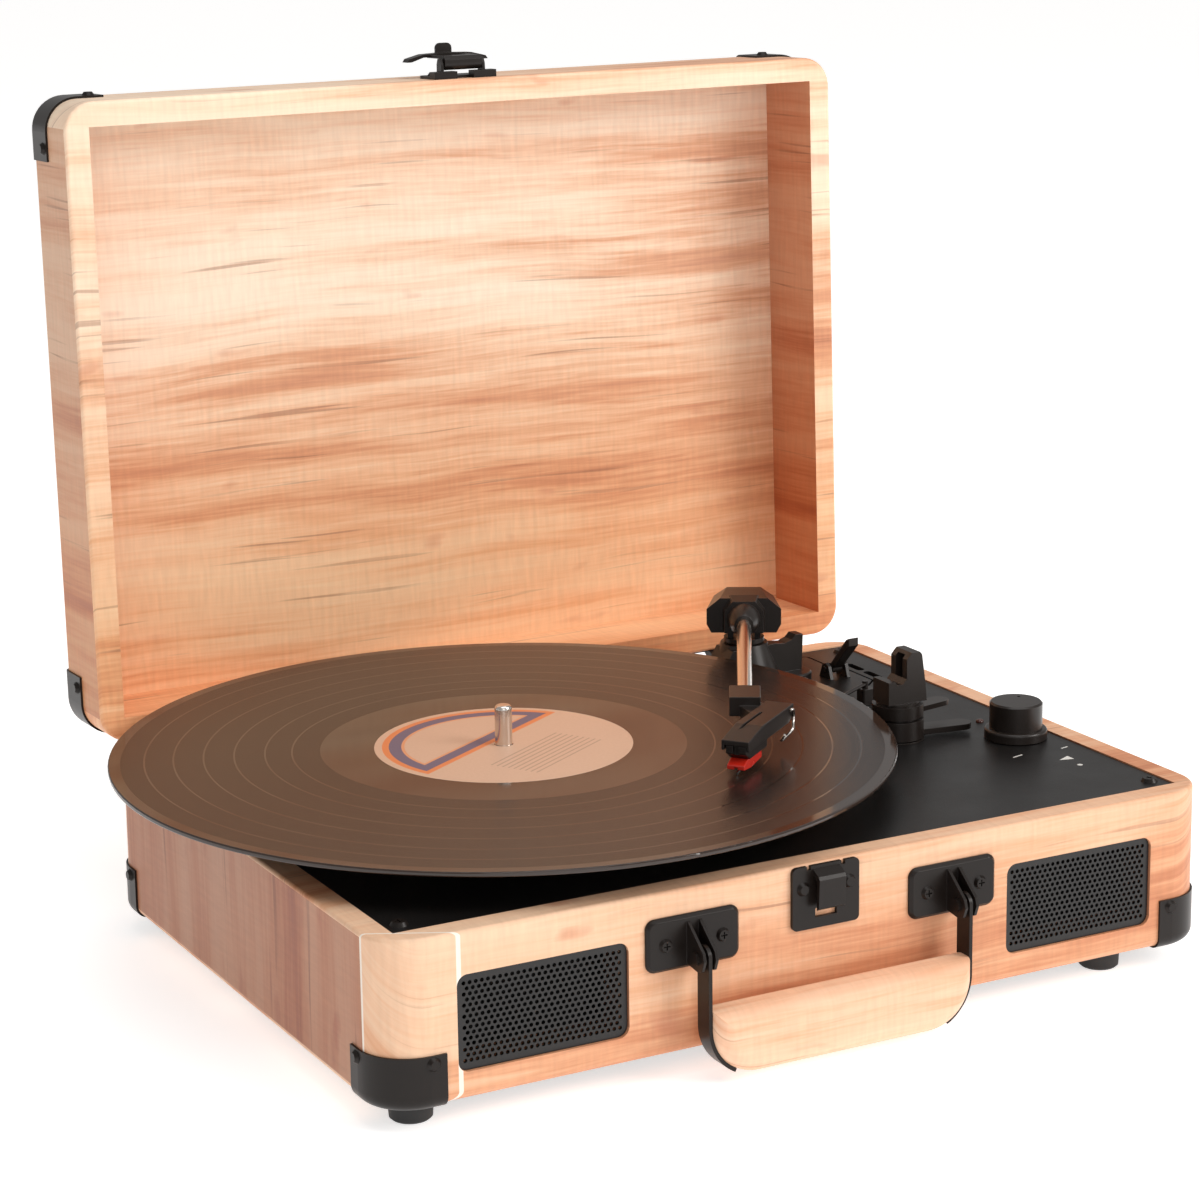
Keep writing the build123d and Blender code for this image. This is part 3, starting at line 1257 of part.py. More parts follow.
with BuildPart() as cue_brackets:
    for ear_x in (CUE_X - 5, CUE_X + 3.4):
        with BuildSketch(Plane.YZ.offset(ear_x)):
            with BuildLine():
                Polyline(
                    (CUE_Y - 4.5, DECK_TOP), (CUE_Y + 4.5, DECK_TOP),
                    (CUE_Y + 2.4, CUE_Z + 1.6), (CUE_Y, CUE_Z + 2.6),
                    (CUE_Y - 2.4, CUE_Z + 1.6), close=True,
                )
            make_face()
            with Locations((CUE_Y, CUE_Z)):
                Circle(CUE_PIN_RADIUS + RUNNING, mode=Mode.SUBTRACT)
        extrude(amount=1.6)
    # guide post of the lift bar
    with BuildSketch(Plane.XY.offset(DECK_TOP)):
        with Locations((LIFT_X + 0.3, LIFT_Y)):
            RectangleRounded(6, 5.4, 1)
    extrude(amount=7)
    with BuildSketch(Plane.XY.offset(DECK_TOP)):
        with Locations((LIFT_X, LIFT_Y)):
            Circle(CUE_PIN_RADIUS + RUNNING)
    extrude(amount=8, mode=Mode.SUBTRACT)
save(cue_brackets, "cue_brackets")

with BuildPart() as cue_lever:
    with BuildSketch(Plane.YZ.offset(CUE_X - 5.6)):
        with Locations((CUE_Y, CUE_Z)):
            Circle(CUE_PIN_RADIUS)
    extrude(amount=11.2)
    with BuildSketch(Plane.YZ.offset(CUE_X - 2.4)):
        with Locations((CUE_Y, CUE_Z)):
            Circle(2.2)
        with BuildLine():
            Polyline(
                (CUE_Y - 0.9, CUE_Z - 0.9), (CUE_Y - 14.5, CUE_Z + 12.7),
                (CUE_Y - 14.5, CUE_Z + 16.2), (CUE_Y - 12.4, CUE_Z + 15.2),
                (CUE_Y + 0.9, CUE_Z + 0.9), close=True,
            )
        make_face()
    extrude(amount=4.8)
save(cue_lever, "cue_lever")

LIFT_REACH_X = 104.0
LIFT_REACH_Y = 24.0
with BuildPart() as cue_lift_bar:
    with BuildSketch(Plane.XY.offset(DECK_BOTTOM - 12)):
        with Locations((LIFT_X, LIFT_Y)):
            Circle(CUE_PIN_RADIUS)
    extrude(amount=LIFT_BAR_Z + 1.4 - DECK_BOTTOM + 12)
    bar_start = Vector(LIFT_X, LIFT_Y, LIFT_BAR_Z)
    bar_along = Vector(LIFT_REACH_X, LIFT_REACH_Y, LIFT_BAR_Z) - bar_start
    with BuildSketch(Plane(bar_start, z_dir=bar_along)):
        Circle(0.8)
    extrude(amount=bar_along.length)
save(cue_lift_bar, "cue_lift_bar")

# ---------------------------------------------------------------- volume knob and its control
KNOB_LOW = DECK_TOP + 0.4
KNOB_HEIGHT = 14.8
KNOB_FLANGE = 4.0

with BuildPart() as volume_knob:
    with BuildSketch(Plane.XY.offset(KNOB_LOW)):
        with Locations((KNOB_X, KNOB_Y)):
            Circle(KNOB_FLANGE_RADIUS)
    extrude(amount=KNOB_FLANGE)
    fillet(volume_knob.edges().group_by(Axis.Z)[-1], 1.2)
    with BuildSketch(Plane.XY.offset(KNOB_LOW + KNOB_FLANGE)):
        with Locations((KNOB_X, KNOB_Y)):
            Circle(KNOB_RADIUS)
    extrude(amount=KNOB_HEIGHT - KNOB_FLANGE)
    chamfer(volume_knob.edges().group_by(Axis.Z)[-1], 0.7)
    # pointer dimple on top and the control's shaft below
    with BuildSketch(Plane.XY.offset(KNOB_LOW + KNOB_HEIGHT)):
        with Locations((KNOB_X + 4.4, KNOB_Y + 4.4)):
            Circle(0.7)
    extrude(amount=-0.5, mode=Mode.SUBTRACT)
    with BuildSketch(Plane.XY.offset(58)):
        with Locations((KNOB_X, KNOB_Y)):
            Circle(KNOB_SHAFT_RADIUS)
    extrude(amount=KNOB_LOW - 58)
save(volume_knob, "volume_knob")

with BuildPart() as volume_pot:
    with BuildSketch(Plane.XY.offset(54)):
        with Locations((KNOB_X, KNOB_Y)):
            Circle(9)
    extrude(amount=9)
    with BuildSketch(Plane.XY.offset(63)):
        with Locations((KNOB_X, KNOB_Y)):
            Circle(7.5)
    extrude(amount=DECK_BOTTOM - 63)
    with BuildSketch(Plane.XY.offset(DECK_BOTTOM)):
        with Locations((KNOB_X, KNOB_Y)):
            Circle(POT_NECK_RADIUS)
    extrude(amount=DECK_THICKNESS)
    with BuildSketch(Plane.XY.offset(57)):
        with Locations((KNOB_X, KNOB_Y)):
            Circle(KNOB_SHAFT_RADIUS + RUNNING)
    extrude(amount=20, mode=Mode.SUBTRACT)
save(volume_pot, "volume_pot")

with BuildPart() as power_led:
    with BuildSketch(Plane.XY.offset(DECK_BOTTOM - 3)):
        with Locations((LED_X, LED_Y)):
            Circle(2.2)
    extrude(amount=3)
    with BuildSketch(Plane.XY.offset(DECK_BOTTOM)):
        with Locations((LED_X, LED_Y)):
            Circle(1.6)
    extrude(amount=DECK_THICKNESS + 1.2)
    fillet(power_led.edges().group_by(Axis.Z)[-1], 1.1)
save(power_led, "power_led")

# ---------------------------------------------------------------- electronics inside the case
BOARD_X = 70.0
BOARD_Y = 20.0
BOARD_Z = 26.0

with BuildPart() as circuit_board:
    with BuildSketch(Plane.XY.offset(FOOT_HEIGHT + BOARD)):
        with Locations((BOARD_X, BOARD_Y)):
            with GridLocations(76, 46, 2, 2):
                Circle(2.6)
    extrude(amount=BOARD_Z - FOOT_HEIGHT - BOARD)
    with BuildSketch(Plane.XY.offset(BOARD_Z)):
        with Locations((BOARD_X, BOARD_Y)):
            RectangleRounded(86, 56, 2)
    extrude(amount=1.6)
    with BuildSketch(Plane.XY.offset(BOARD_Z + 1.6)):
        with Locations((BOARD_X - 20, BOARD_Y + 8)):
            Rectangle(16, 9)
        with Locations((BOARD_X + 8, BOARD_Y - 10)):
            Rectangle(10, 10)
    extrude(amount=3.4)
    with BuildSketch(Plane.XY.offset(BOARD_Z + 1.6)):
        with Locations((BOARD_X, BOARD_Y)):
            with Locations((28, 12), (28, -2), (-28, -14), (-14, -14)):
                Circle(4)
    extrude(amount=11)
save(circuit_board, "circuit_board")

JACK_PLATE_X = -60.0
JACK_PLATE_Z = 34.0
AUX_BORE_RADIUS = 1.8
DC_BORE_RADIUS = 2.75
PHONO_RADIUS = 4.15

with BuildPart() as jack_plate:
    with BuildSketch(Plane.XZ.offset(-HALF_DEPTH)):
        with Locations((JACK_PLATE_X, JACK_PLATE_Z)):
            RectangleRounded(72, 32, 3)
    extrude(amount=-1.6)
    # socket bodies behind the plate
    with BuildSketch(Plane.XZ.offset(-HALF_DEPTH)):
        with Locations((JACK_PLATE_X, JACK_PLATE_Z)):
            with Locations((-22, 0)):
                Rectangle(12, 14)
            with Locations((-4, 0)):
                Rectangle(10, 12)
            with Locations((12, 0), (25, 0)):
                Circle(4.8)
    extrude(amount=15)
    # the pair of phono sockets stands out at the back
    with BuildSketch(Plane.XZ.offset(-HALF_DEPTH - 1.6)):
        with Locations((JACK_PLATE_X + 12, JACK_PLATE_Z), (JACK_PLATE_X + 25, JACK_PLATE_Z)):
            Circle(PHONO_RADIUS)
            Circle(1.8, mode=Mode.SUBTRACT)
    extrude(amount=-8)
    with BuildSketch(Plane.XZ.offset(-HALF_DEPTH - 1.6)):
        with Locations((JACK_PLATE_X - 22, JACK_PLATE_Z)):
            Circle(DC_BORE_RADIUS)
    extrude(amount=9, mode=Mode.SUBTRACT)
    with BuildSketch(Plane.XZ.offset(-HALF_DEPTH - 1.6)):
        with Locations((JACK_PLATE_X - 4, JACK_PLATE_Z)):
            Circle(AUX_BORE_RADIUS)
    extrude(amount=14, mode=Mode.SUBTRACT)
save(jack_plate, "jack_plate")
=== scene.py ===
"""Looks of the suitcase record player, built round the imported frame."""
import math
import bmesh
import bpy
from mathutils import Matrix, Vector


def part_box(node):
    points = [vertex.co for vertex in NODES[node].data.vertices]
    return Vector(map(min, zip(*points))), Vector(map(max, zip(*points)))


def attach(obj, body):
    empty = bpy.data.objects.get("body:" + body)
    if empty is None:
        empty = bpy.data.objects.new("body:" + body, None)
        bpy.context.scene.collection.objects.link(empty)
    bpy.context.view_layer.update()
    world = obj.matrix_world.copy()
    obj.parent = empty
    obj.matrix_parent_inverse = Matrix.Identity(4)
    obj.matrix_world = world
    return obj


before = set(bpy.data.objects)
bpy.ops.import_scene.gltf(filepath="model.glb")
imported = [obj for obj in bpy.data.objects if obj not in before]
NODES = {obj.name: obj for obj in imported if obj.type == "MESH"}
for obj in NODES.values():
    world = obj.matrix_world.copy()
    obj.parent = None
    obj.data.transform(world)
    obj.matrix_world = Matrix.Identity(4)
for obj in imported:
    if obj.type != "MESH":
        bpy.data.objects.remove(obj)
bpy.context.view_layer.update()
MM = 0.001
# the lid is built open: turned back round the hinge axis, it lies on the base and shares its grain
HINGE_POINT = (0, 0.133, 0.066)
LID_OPEN = math.radians(92)
LID_INSIDE_X = 0.168
# grooves and centre label of the record, as radii from the spindle
PLAYED_FROM = 0.0705
PLAYED_TO = 0.1462
TRACK_GAPS = (0.0812, 0.0915, 0.1032, 0.1148, 0.1262, 0.1372)
LABEL_HOLE = 0.0037
LABEL_EDGE = 0.0498
STRIPES_EDGE = 0.0468
STRIPES_CHORD = -0.0045
STRIPES_TURN = math.radians(58.2)


# ------------------------------------------------------------------ material helpers
class Mat:
    """A Principled material with short calls for its nodes."""

    def __init__(self, name, color=(0.5, 0.5, 0.5), rough=0.5, metal=0.0, **sockets):
        self.mat = bpy.data.materials.new(name)
        self.mat.use_nodes = True
        self.tree = self.mat.node_tree
        self.bsdf = next(n for n in self.tree.nodes if n.type == "BSDF_PRINCIPLED")
        self.bsdf.inputs["Base Color"].default_value = (*color, 1)
        self.bsdf.inputs["Roughness"].default_value = rough
        self.bsdf.inputs["Metallic"].default_value = metal
        for key, value in sockets.items():
            self.bsdf.inputs[key.replace("_", " ")].default_value = value

    def add(self, kind, *inputs, out=0, **props):
        node = self.tree.nodes.new(kind)
        for key, value in props.items():
            setattr(node, key, value)
        for index, value in enumerate(inputs):
            self.put(node.inputs[index], value)
        return node.outputs[out]

    def put(self, socket, value):
        if value is None:
            return
        if isinstance(value, bpy.types.NodeSocket):
            self.tree.links.new(value, socket)
        elif isinstance(value, (tuple, list)) and socket.type == "RGBA":
            socket.default_value = (*value[:3], 1)
        else:
            socket.default_value = value

    def set(self, name, value):
        self.put(self.bsdf.inputs[name], value)

    def math(self, op, a, b=None, c=None, clamp=False):
        return self.add("ShaderNodeMath", a, b, c, operation=op, use_clamp=clamp)

    def coord(self, which="Object"):
        return self.add("ShaderNodeTexCoord", out={"Object": 3, "Normal": 1}[which])

    def split(self, vector):
        node = self.tree.nodes.new("ShaderNodeSeparateXYZ")
        self.put(node.inputs[0], vector)
        return node.outputs

    def join(self, x, y, z=0.0):
        return self.add("ShaderNodeCombineXYZ", x, y, z)

    def noise(self, vector, scale, detail=3.0, rough=0.5, distortion=0.0):
        node = self.tree.nodes.new("ShaderNodeTexNoise")
        self.put(node.inputs["Vector"], vector)
        node.inputs["Scale"].default_value = scale
        node.inputs["Detail"].default_value = detail
        node.inputs["Roughness"].default_value = rough
        node.inputs["Distortion"].default_value = distortion
        return node.outputs["Fac"]

    def ramp(self, fac, stops, interpolation="LINEAR"):
        node = self.tree.nodes.new("ShaderNodeValToRGB")
        self.put(node.inputs[0], fac)
        node.color_ramp.interpolation = interpolation
        elements = node.color_ramp.elements
        while len(elements) < len(stops):
            elements.new(0.5)
        for element, (place, color) in zip(elements, stops):
            element.position = place
            element.color = (*color, 1) if isinstance(color, tuple) else (color, color, color, 1)
        return node.outputs[0]

    def mix(self, fac, a, b, blend="MIX"):
        node = self.tree.nodes.new("ShaderNodeMix")
        node.data_type = "RGBA"
        node.blend_type = blend
        self.put(node.inputs[0], fac)
        self.put(node.inputs[6], a)
        self.put(node.inputs[7], b)
        return node.outputs[2]

    def pick(self, fac, a, b):
        node = self.tree.nodes.new("ShaderNodeMix")
        node.data_type = "FLOAT"
        self.put(node.inputs[0], fac)
        self.put(node.inputs[2], a)
        self.put(node.inputs[3], b)
        return node.outputs[0]

    def close_lid(self, vector, point):
        """Turn a place or a direction on the open lid back to where it is with the lid shut."""
        return self.add("ShaderNodeVectorRotate", vector, point, None, LID_OPEN, rotation_type="X_AXIS")

    def bump(self, height, strength=0.2, distance=0.0002):
        node = self.tree.nodes.new("ShaderNodeBump")
        node.inputs["Strength"].default_value = strength
        node.inputs["Distance"].default_value = distance
        self.put(node.inputs["Height"], height)
        self.put(self.bsdf.inputs["Normal"], node.outputs[0])


def wood(name, opened, tint=(1.0, 1.0, 1.0), seam=False, offset=0.0, pale=0.0):
    """Printed pale wood wrap: grain along X, but along the depth on the end faces."""
    m = Mat(name, rough=0.42, Specular_IOR_Level=0.35)
    place = m.coord()
    normal = m.coord("Normal")
    if opened:
        place = m.close_lid(place, HINGE_POINT)
        normal = m.close_lid(normal, (0, 0, 0))
    x, y, z = m.split(place)
    nx = m.split(normal)[0]
    end = m.math("GREATER_THAN", m.math("ABSOLUTE", nx), 0.985)
    u = m.pick(end, x, z)
    v = m.pick(end, m.math("SUBTRACT", z, y), m.math("ADD", y, 0.37))
    v = m.math("ADD", v, offset)
    # slow wander of the grain lines
    wander = m.noise(m.join(m.math("MULTIPLY", u, 5.0), m.math("MULTIPLY", v, 9.0)), 1.0, 2.0)
    v = m.math("ADD", v, m.math("MULTIPLY", m.math("SUBTRACT", wander, 0.5), 0.014))

    def streaks(across, along, detail, rough, shift):
        vector = m.join(m.math("MULTIPLY", u, along), m.math("MULTIPLY", v, across), shift)
        return m.noise(vector, 1.0, detail, rough)

    bands = streaks(17.0, 2.1, 3.0, 0.5, 3.1)
    medium = streaks(75.0, 5.0, 4.0, 0.6, 7.7)
    fine = streaks(620.0, 24.0, 3.0, 0.6, 1.3)
    tone = m.math("ADD", m.math("MULTIPLY", bands, 0.50), m.math("MULTIPLY", medium, 0.34))
    tone = m.math("ADD", tone, m.math("MULTIPLY", fine, 0.16))
    color = m.ramp(tone, [
        (0.34, (0.52, 0.19, 0.095)), (0.42, (0.70, 0.33, 0.175)), (0.475, (0.82, 0.465, 0.275)),
        (0.53, (0.89, 0.59, 0.39)), (0.62, (0.93, 0.69, 0.49)),
    ])
    if pale:
        # painted light: where the bands are light they are washed paler towards the top of the lid, and
        # painted shade gives a deeper orange low down near the hinges
        rise = m.math("MULTIPLY_ADD", m.split(m.coord())[2], 9.0, -1.1, clamp=True)
        painted_light_wash = m.math("MULTIPLY", m.ramp(tone, [(0.42, 0.15), (0.56, 1.0)]), pale)
        color = m.mix(m.math("MULTIPLY", painted_light_wash, rise), color, (0.97, 0.84, 0.69))
        color = m.mix(rise, m.mix(1.0, color, (1.0, 0.86, 0.72), "MULTIPLY"), color)
    # thin dark pores and cracks that come and go along the grain
    lines = m.ramp(streaks(330.0, 9.0, 2.0, 0.5, 12.0), [(0.0, 0.0), (0.30, 0.0), (0.36, 1.0)])
    where = m.ramp(streaks(26.0, 7.0, 3.0, 0.6, 21.0), [(0.44, 1.0), (0.54, 0.0)])
    lines = m.math("MAXIMUM", lines, where)
    color = m.mix(m.math("MULTIPLY", m.math("SUBTRACT", 1.0, lines), 0.50), color, (0.27, 0.105, 0.055))
    # warm flecks and small knots
    fleck = m.noise(m.join(m.math("MULTIPLY", u, 26.0), m.math("MULTIPLY", v, 70.0), 5.0), 1.0, 2.0, 0.5)
    fleck = m.ramp(fleck, [(0.66, 0.0), (0.74, 1.0)])
    color = m.mix(m.math("MULTIPLY", fleck, 0.45), color, (0.60, 0.22, 0.12))
    # ripple across the grain
    ripple = m.noise(m.join(m.math("MULTIPLY", u, 520.0), m.math("MULTIPLY", v, 60.0)), 1.0, 2.0)
    shade = m.math("ADD", 0.89, m.math("MULTIPLY", ripple, 0.22))
    color = m.mix(1.0, color, m.join(shade, shade, shade), "MULTIPLY")
    if opened:
        # painted shade on the end walls, deeper inside the lid than outside it
        inside = m.math("LESS_THAN", m.math("ABSOLUTE", x), LID_INSIDE_X)
        painted_end_shade = m.mix(inside, (0.74, 0.62, 0.55), (0.70, 0.47, 0.38))
    else:
        painted_end_shade = (0.57, 0.44, 0.40)
    # painted shade: the end faces, across X, are multiplied darker than the front and top
    color = m.mix(end, color, m.mix(1.0, color, painted_end_shade, "MULTIPLY"))
    color = m.mix(1.0, color, tint, "MULTIPLY")
    if seam:
        # cut edge of the wrap, a pale line where the front sheet meets the end sheet
        slant = m.math("ADD", m.math("ADD", y, 0.1130), m.math("MULTIPLY", m.math("ADD", x, 0.1735), 0.52))
        line = m.math("LESS_THAN", m.math("ABSOLUTE", slant), 0.00045)
        line = m.math("MULTIPLY", line, m.math("LESS_THAN", x, -0.1))
        color = m.mix(m.math("MULTIPLY", line, 0.85), color, (0.93, 0.86, 0.76))
    m.set("Base Color", color)
    m.set("Roughness", m.math("ADD", 0.36, m.math("MULTIPLY", fine, 0.16)))
    m.bump(m.math("ADD", m.math("MULTIPLY", fine, 0.6), m.math("MULTIPLY", ripple, 0.3)), 0.25, 0.00012)
    return m.mat


def textured(name, color, rough, scale, strength, distance, metal=0.0, spread=0.3, **sockets):
    """Moulded or painted surface: slight colour and gloss variation and a fine grain."""
    m = Mat(name, color, rough, metal, **sockets)
    place = m.coord()
    grain = m.noise(place, scale, 3.0, 0.6)
    patch = m.noise(place, scale * 0.03, 3.0, 0.6)
    low = tuple(c * (1 - spread) for c in color)
    high = tuple(min(1.0, c * (1 + spread)) for c in color)
    m.set("Base Color", m.mix(patch, low, high))
    m.set("Roughness", m.math("ADD", rough - 0.08, m.math("MULTIPLY", patch, 0.16)))
    m.bump(grain, strength, distance)
    return m.mat


def brushed(name, color, rough, along=(1, 30, 30)):
    m = Mat(name, color, rough, 1.0)
    place = m.coord()
    stretched = m.add("ShaderNodeVectorMath", place, along, operation="MULTIPLY")
    marks = m.noise(stretched, 120.0, 3.0, 0.6)
    m.set("Roughness", m.math("ADD", rough - 0.05, m.math("MULTIPLY", marks, 0.14)))
    m.bump(marks, 0.12, 0.00005)
    return m.mat


def vinyl(name, cx, cy):
    """Pressed record: fine grooves, silent bands between the tracks, smooth rim and centre."""
    m = Mat(name, (0.030, 0.018, 0.013), 0.2, Specular_IOR_Level=0.62)
    x, y, z = m.split(m.coord())
    dx = m.math("SUBTRACT", x, cx)
    dy = m.math("SUBTRACT", y, cy)
    radius = m.math("SQRT", m.math("ADD", m.math("MULTIPLY", dx, dx), m.math("MULTIPLY", dy, dy)))
    ring = m.join(radius, 0.0, 0.0)
    groove = m.noise(ring, 4200.0, 2.0, 0.7)
    loud = m.noise(ring, 420.0, 4.0, 0.7)
    past_start = m.math("GREATER_THAN", radius, PLAYED_FROM)
    played = m.math("MULTIPLY", past_start, m.math("LESS_THAN", radius, PLAYED_TO))
    gap = None
    for place in TRACK_GAPS:
        band = m.math("COMPARE", radius, place, 0.00035)
        gap = band if gap is None else m.math("MAXIMUM", gap, band)
    cut = m.math("MULTIPLY", played, m.math("SUBTRACT", 1.0, gap))
    cut_color = m.mix(loud, (0.010, 0.006, 0.005), (0.034, 0.021, 0.016))
    m.set("Base Color", m.mix(cut, (0.030, 0.017, 0.012), cut_color))
    m.set("Roughness", m.pick(cut, 0.09, m.math("ADD", 0.17, m.math("MULTIPLY", loud, 0.16))))
    m.set("Specular IOR Level", m.pick(cut, 0.55, m.math("ADD", 0.16, m.math("MULTIPLY", loud, 0.26))))
    height = m.math("MULTIPLY", cut, m.math("ADD", groove, m.math("MULTIPLY", loud, 0.5)))
    m.bump(height, 0.22, 0.00008)
    return m.mat


def label(name, cx, cy):
    """Plain tan centre label with generic coloured stripes, no lettering."""
    m = Mat(name, rough=0.5, Specular_IOR_Level=0.4)
    x, y, z = m.split(m.coord())
    dx = m.math("SUBTRACT", x, cx)
    dy = m.math("SUBTRACT", y, cy)
    cos, sin = math.cos(STRIPES_TURN), math.sin(STRIPES_TURN)
    a = m.math("ADD", m.math("MULTIPLY", dx, cos), m.math("MULTIPLY", dy, -sin))
    b = m.math("ADD", m.math("MULTIPLY", dx, sin), m.math("MULTIPLY", dy, cos))
    radius = m.math("SQRT", m.math("ADD", m.math("MULTIPLY", dx, dx), m.math("MULTIPLY", dy, dy)))
    paper = m.noise(m.coord(), 900.0, 3.0, 0.6)
    color = m.mix(paper, (0.60, 0.375, 0.255), (0.68, 0.44, 0.31))
    left = m.math("LESS_THAN", a, STRIPES_CHORD)
    inside = m.math("LESS_THAN", radius, STRIPES_EDGE)
    field = m.math("MULTIPLY", left, inside)
    # stripes round the part beyond the chord: concentric with the rim, then straight along the chord
    depth = m.math("MINIMUM", m.math("SUBTRACT", STRIPES_EDGE, radius), m.math("SUBTRACT", STRIPES_CHORD, a))
    for low, high, paint in ((0.0, 0.0026, (0.72, 0.22, 0.075)), (0.0026, 0.0074, (0.15, 0.115, 0.17)),
                             (0.0074, 0.0086, (0.70, 0.30, 0.15))):
        stripe = m.math("MULTIPLY", m.math("GREATER_THAN", depth, low), m.math("LESS_THAN", depth, high))
        color = m.mix(m.math("MULTIPLY", stripe, field), color, paint)
    # faint rule lines where such labels carry print
    rules = m.math("LESS_THAN", m.math("FRACT", m.math("MULTIPLY", a, 400.0)), 0.3)
    span = m.math("MULTIPLY", m.math("GREATER_THAN", a, 0.009), m.math("LESS_THAN", a, 0.031))
    span = m.math("MULTIPLY", span, m.math("LESS_THAN", m.math("ABSOLUTE", m.math("ADD", b, 0.002)), 0.024))
    color = m.mix(m.math("MULTIPLY", m.math("MULTIPLY", rules, span), 0.35), color, (0.12, 0.07, 0.05))
    m.set("Base Color", color)
    m.bump(paper, 0.1, 0.00005)
    return m.mat


def paint(node, material):
    data = NODES[node].data
    if len(data.materials) == 0:
        data.materials.append(material)
    for index in range(len(data.materials)):
        data.materials[index] = material


# ------------------------------------------------------------------ materials
low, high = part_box("record")
RECORD = ((low[0] + high[0]) / 2, (low[1] + high[1]) / 2, high[2])

wood_base = wood("wood_wrap_base", False, tint=(0.90, 0.82, 0.78), seam=True)
# pale sets the strength of the painted light towards the top of the lid and its panel; both also get painted
# shade low down
wood_lid = wood("wood_wrap_lid", True, offset=0.61, pale=0.30)
wood_panel = wood("wood_wrap_panel", True, offset=1.37, pale=0.60)
wood_grip = wood("wood_wrap_grip", False, tint=(0.94, 0.87, 0.86), offset=2.21)
deck_skin = textured("deck_skin", (0.0060, 0.0050, 0.0046), 0.38, 1500.0, 0.5, 0.00012,
                     Specular_IOR_Level=0.42)
# black with a warm cast; the warm cast is painted reflection of the wood
hardware = textured("black_hardware", (0.0120, 0.0085, 0.0070), 0.32, 700.0, 0.12, 0.00006,
                    Specular_IOR_Level=0.24)
plastic = textured("moulded_plastic", (0.0165, 0.0120, 0.0100), 0.30, 1100.0, 0.2, 0.00006,
                   Specular_IOR_Level=0.36)
cloth = textured("platter_felt", (0.012, 0.012, 0.012), 0.9, 2200.0, 0.6, 0.0003, Sheen_Weight=0.4)
rubber = textured("foot_rubber", (0.014, 0.013, 0.013), 0.62, 900.0, 0.25, 0.0001)
board = textured("bottom_board", (0.022, 0.019, 0.018), 0.7, 500.0, 0.3, 0.0002)
grille = textured("grille_metal", (0.013, 0.012, 0.012), 0.38, 900.0, 0.1, 0.00005, metal=0.2)
cone = textured("speaker_cone", (0.010, 0.010, 0.010), 0.75, 700.0, 0.3, 0.0002)
chrome = brushed("polished_steel", (0.72, 0.67, 0.62), 0.16, (4, 4, 90))
steel = brushed("plain_steel", (0.52, 0.50, 0.47), 0.32)
brass = brushed("brass", (0.78, 0.56, 0.25), 0.28)
red = textured("stylus_red", (0.60, 0.022, 0.010), 0.28, 900.0, 0.08, 0.00004, spread=0.12)
green = textured("circuit_green", (0.02, 0.12, 0.05), 0.4, 800.0, 0.2, 0.0001)
lens = textured("indicator_lens", (0.060, 0.016, 0.010), 0.2, 600.0, 0.05, 0.00004)
record_mat = vinyl("record_vinyl", RECORD[0], RECORD[1])

LOOKS = {
    wood_base: ["base_walls"],
    wood_lid: ["lid_walls"],
    wood_panel: ["lid_panel"],
    wood_grip: ["handle_grip"],
    deck_skin: ["deck_plate", "mechanism_plate"],
    hardware: ["base_corner_guards", "lid_corner_guards", "base_nails", "lid_nails", "latch_plate",
               "latch_pin", "latch_lever", "latch_keeper", "hinge_base_leaves", "hinge_lid_leaves",
               "handle_plate_left", "handle_plate_right", "base_screws", "handle_strap_left",
               "handle_strap_right", "deck_screws", "handle_rivets", "hinge_lid_screws", "hinge_pins"],
    grille: ["speaker_grille_left", "speaker_grille_right"],
    cone: ["speaker_driver_left", "speaker_driver_right"],
    rubber: ["feet", "drive_belt"],
    board: ["base_bottom", "jack_plate"],
    plastic: ["tonearm_stand", "tonearm_yoke", "tonearm_housing", "headshell", "cartridge", "arm_rest",
              "cue_brackets", "cue_lever", "cue_lift_bar", "volume_knob", "speed_lever",
              "auto_stop_lever", "platter"],
    cloth: ["platter_mat"],
    record_mat: ["record"],
    chrome: ["spindle", "tonearm_tube", "finger_lift", "stylus"],
    steel: ["foot_screws", "drive_motor", "volume_pot"],
    brass: ["platter_bearing", "motor_pulley"],
    red: ["stylus_holder"],
    green: ["circuit_board"],
    lens: ["power_led"],
}
for material, names in LOOKS.items():
    for name in names:
        paint(name, material)


# ------------------------------------------------------------------ softened edges on the CAD pieces
def soften(names, width, segments=2):
    """Round the sharp edges of CAD pieces with modifiers: the mesh itself is left alone."""
    for name in names:
        piece = NODES[name]
        piece.modifiers.new("weld", "WELD").merge_threshold = 1e-6
        flat = piece.modifiers.new("flat", "DECIMATE")
        flat.decimate_type = "DISSOLVE"
        flat.angle_limit = math.radians(0.6)
        bevel = piece.modifiers.new("bevel", "BEVEL")
        bevel.width = width
        bevel.segments = segments
        bevel.limit_method = "ANGLE"
        bevel.angle_limit = math.radians(38)
        bevel.use_clamp_overlap = True
        normals = piece.modifiers.new("normals", "WEIGHTED_NORMAL")
        normals.keep_sharp = True


soften(["tonearm_housing", "tonearm_stand", "tonearm_yoke", "arm_rest", "latch_keeper", "latch_plate",
        "handle_plate_left", "handle_plate_right"], 0.0005)
soften(["headshell", "cartridge", "stylus_holder", "latch_lever", "cue_brackets", "cue_lever",
        "speed_lever", "auto_stop_lever"], 0.0003)


# ------------------------------------------------------------------ new pieces
def from_bmesh(name, mesh, material, body, smooth=True):
    data = bpy.data.meshes.new(name)
    mesh.to_mesh(data)
    mesh.free()
    piece = bpy.data.objects.new(name, data)
    bpy.context.scene.collection.objects.link(piece)
    data.materials.append(material)
    if smooth:
        data.polygons.foreach_set("use_smooth", [True] * len(data.polygons))
        data.set_sharp_from_angle(angle=math.radians(35))
    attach(piece, body)
    return piece


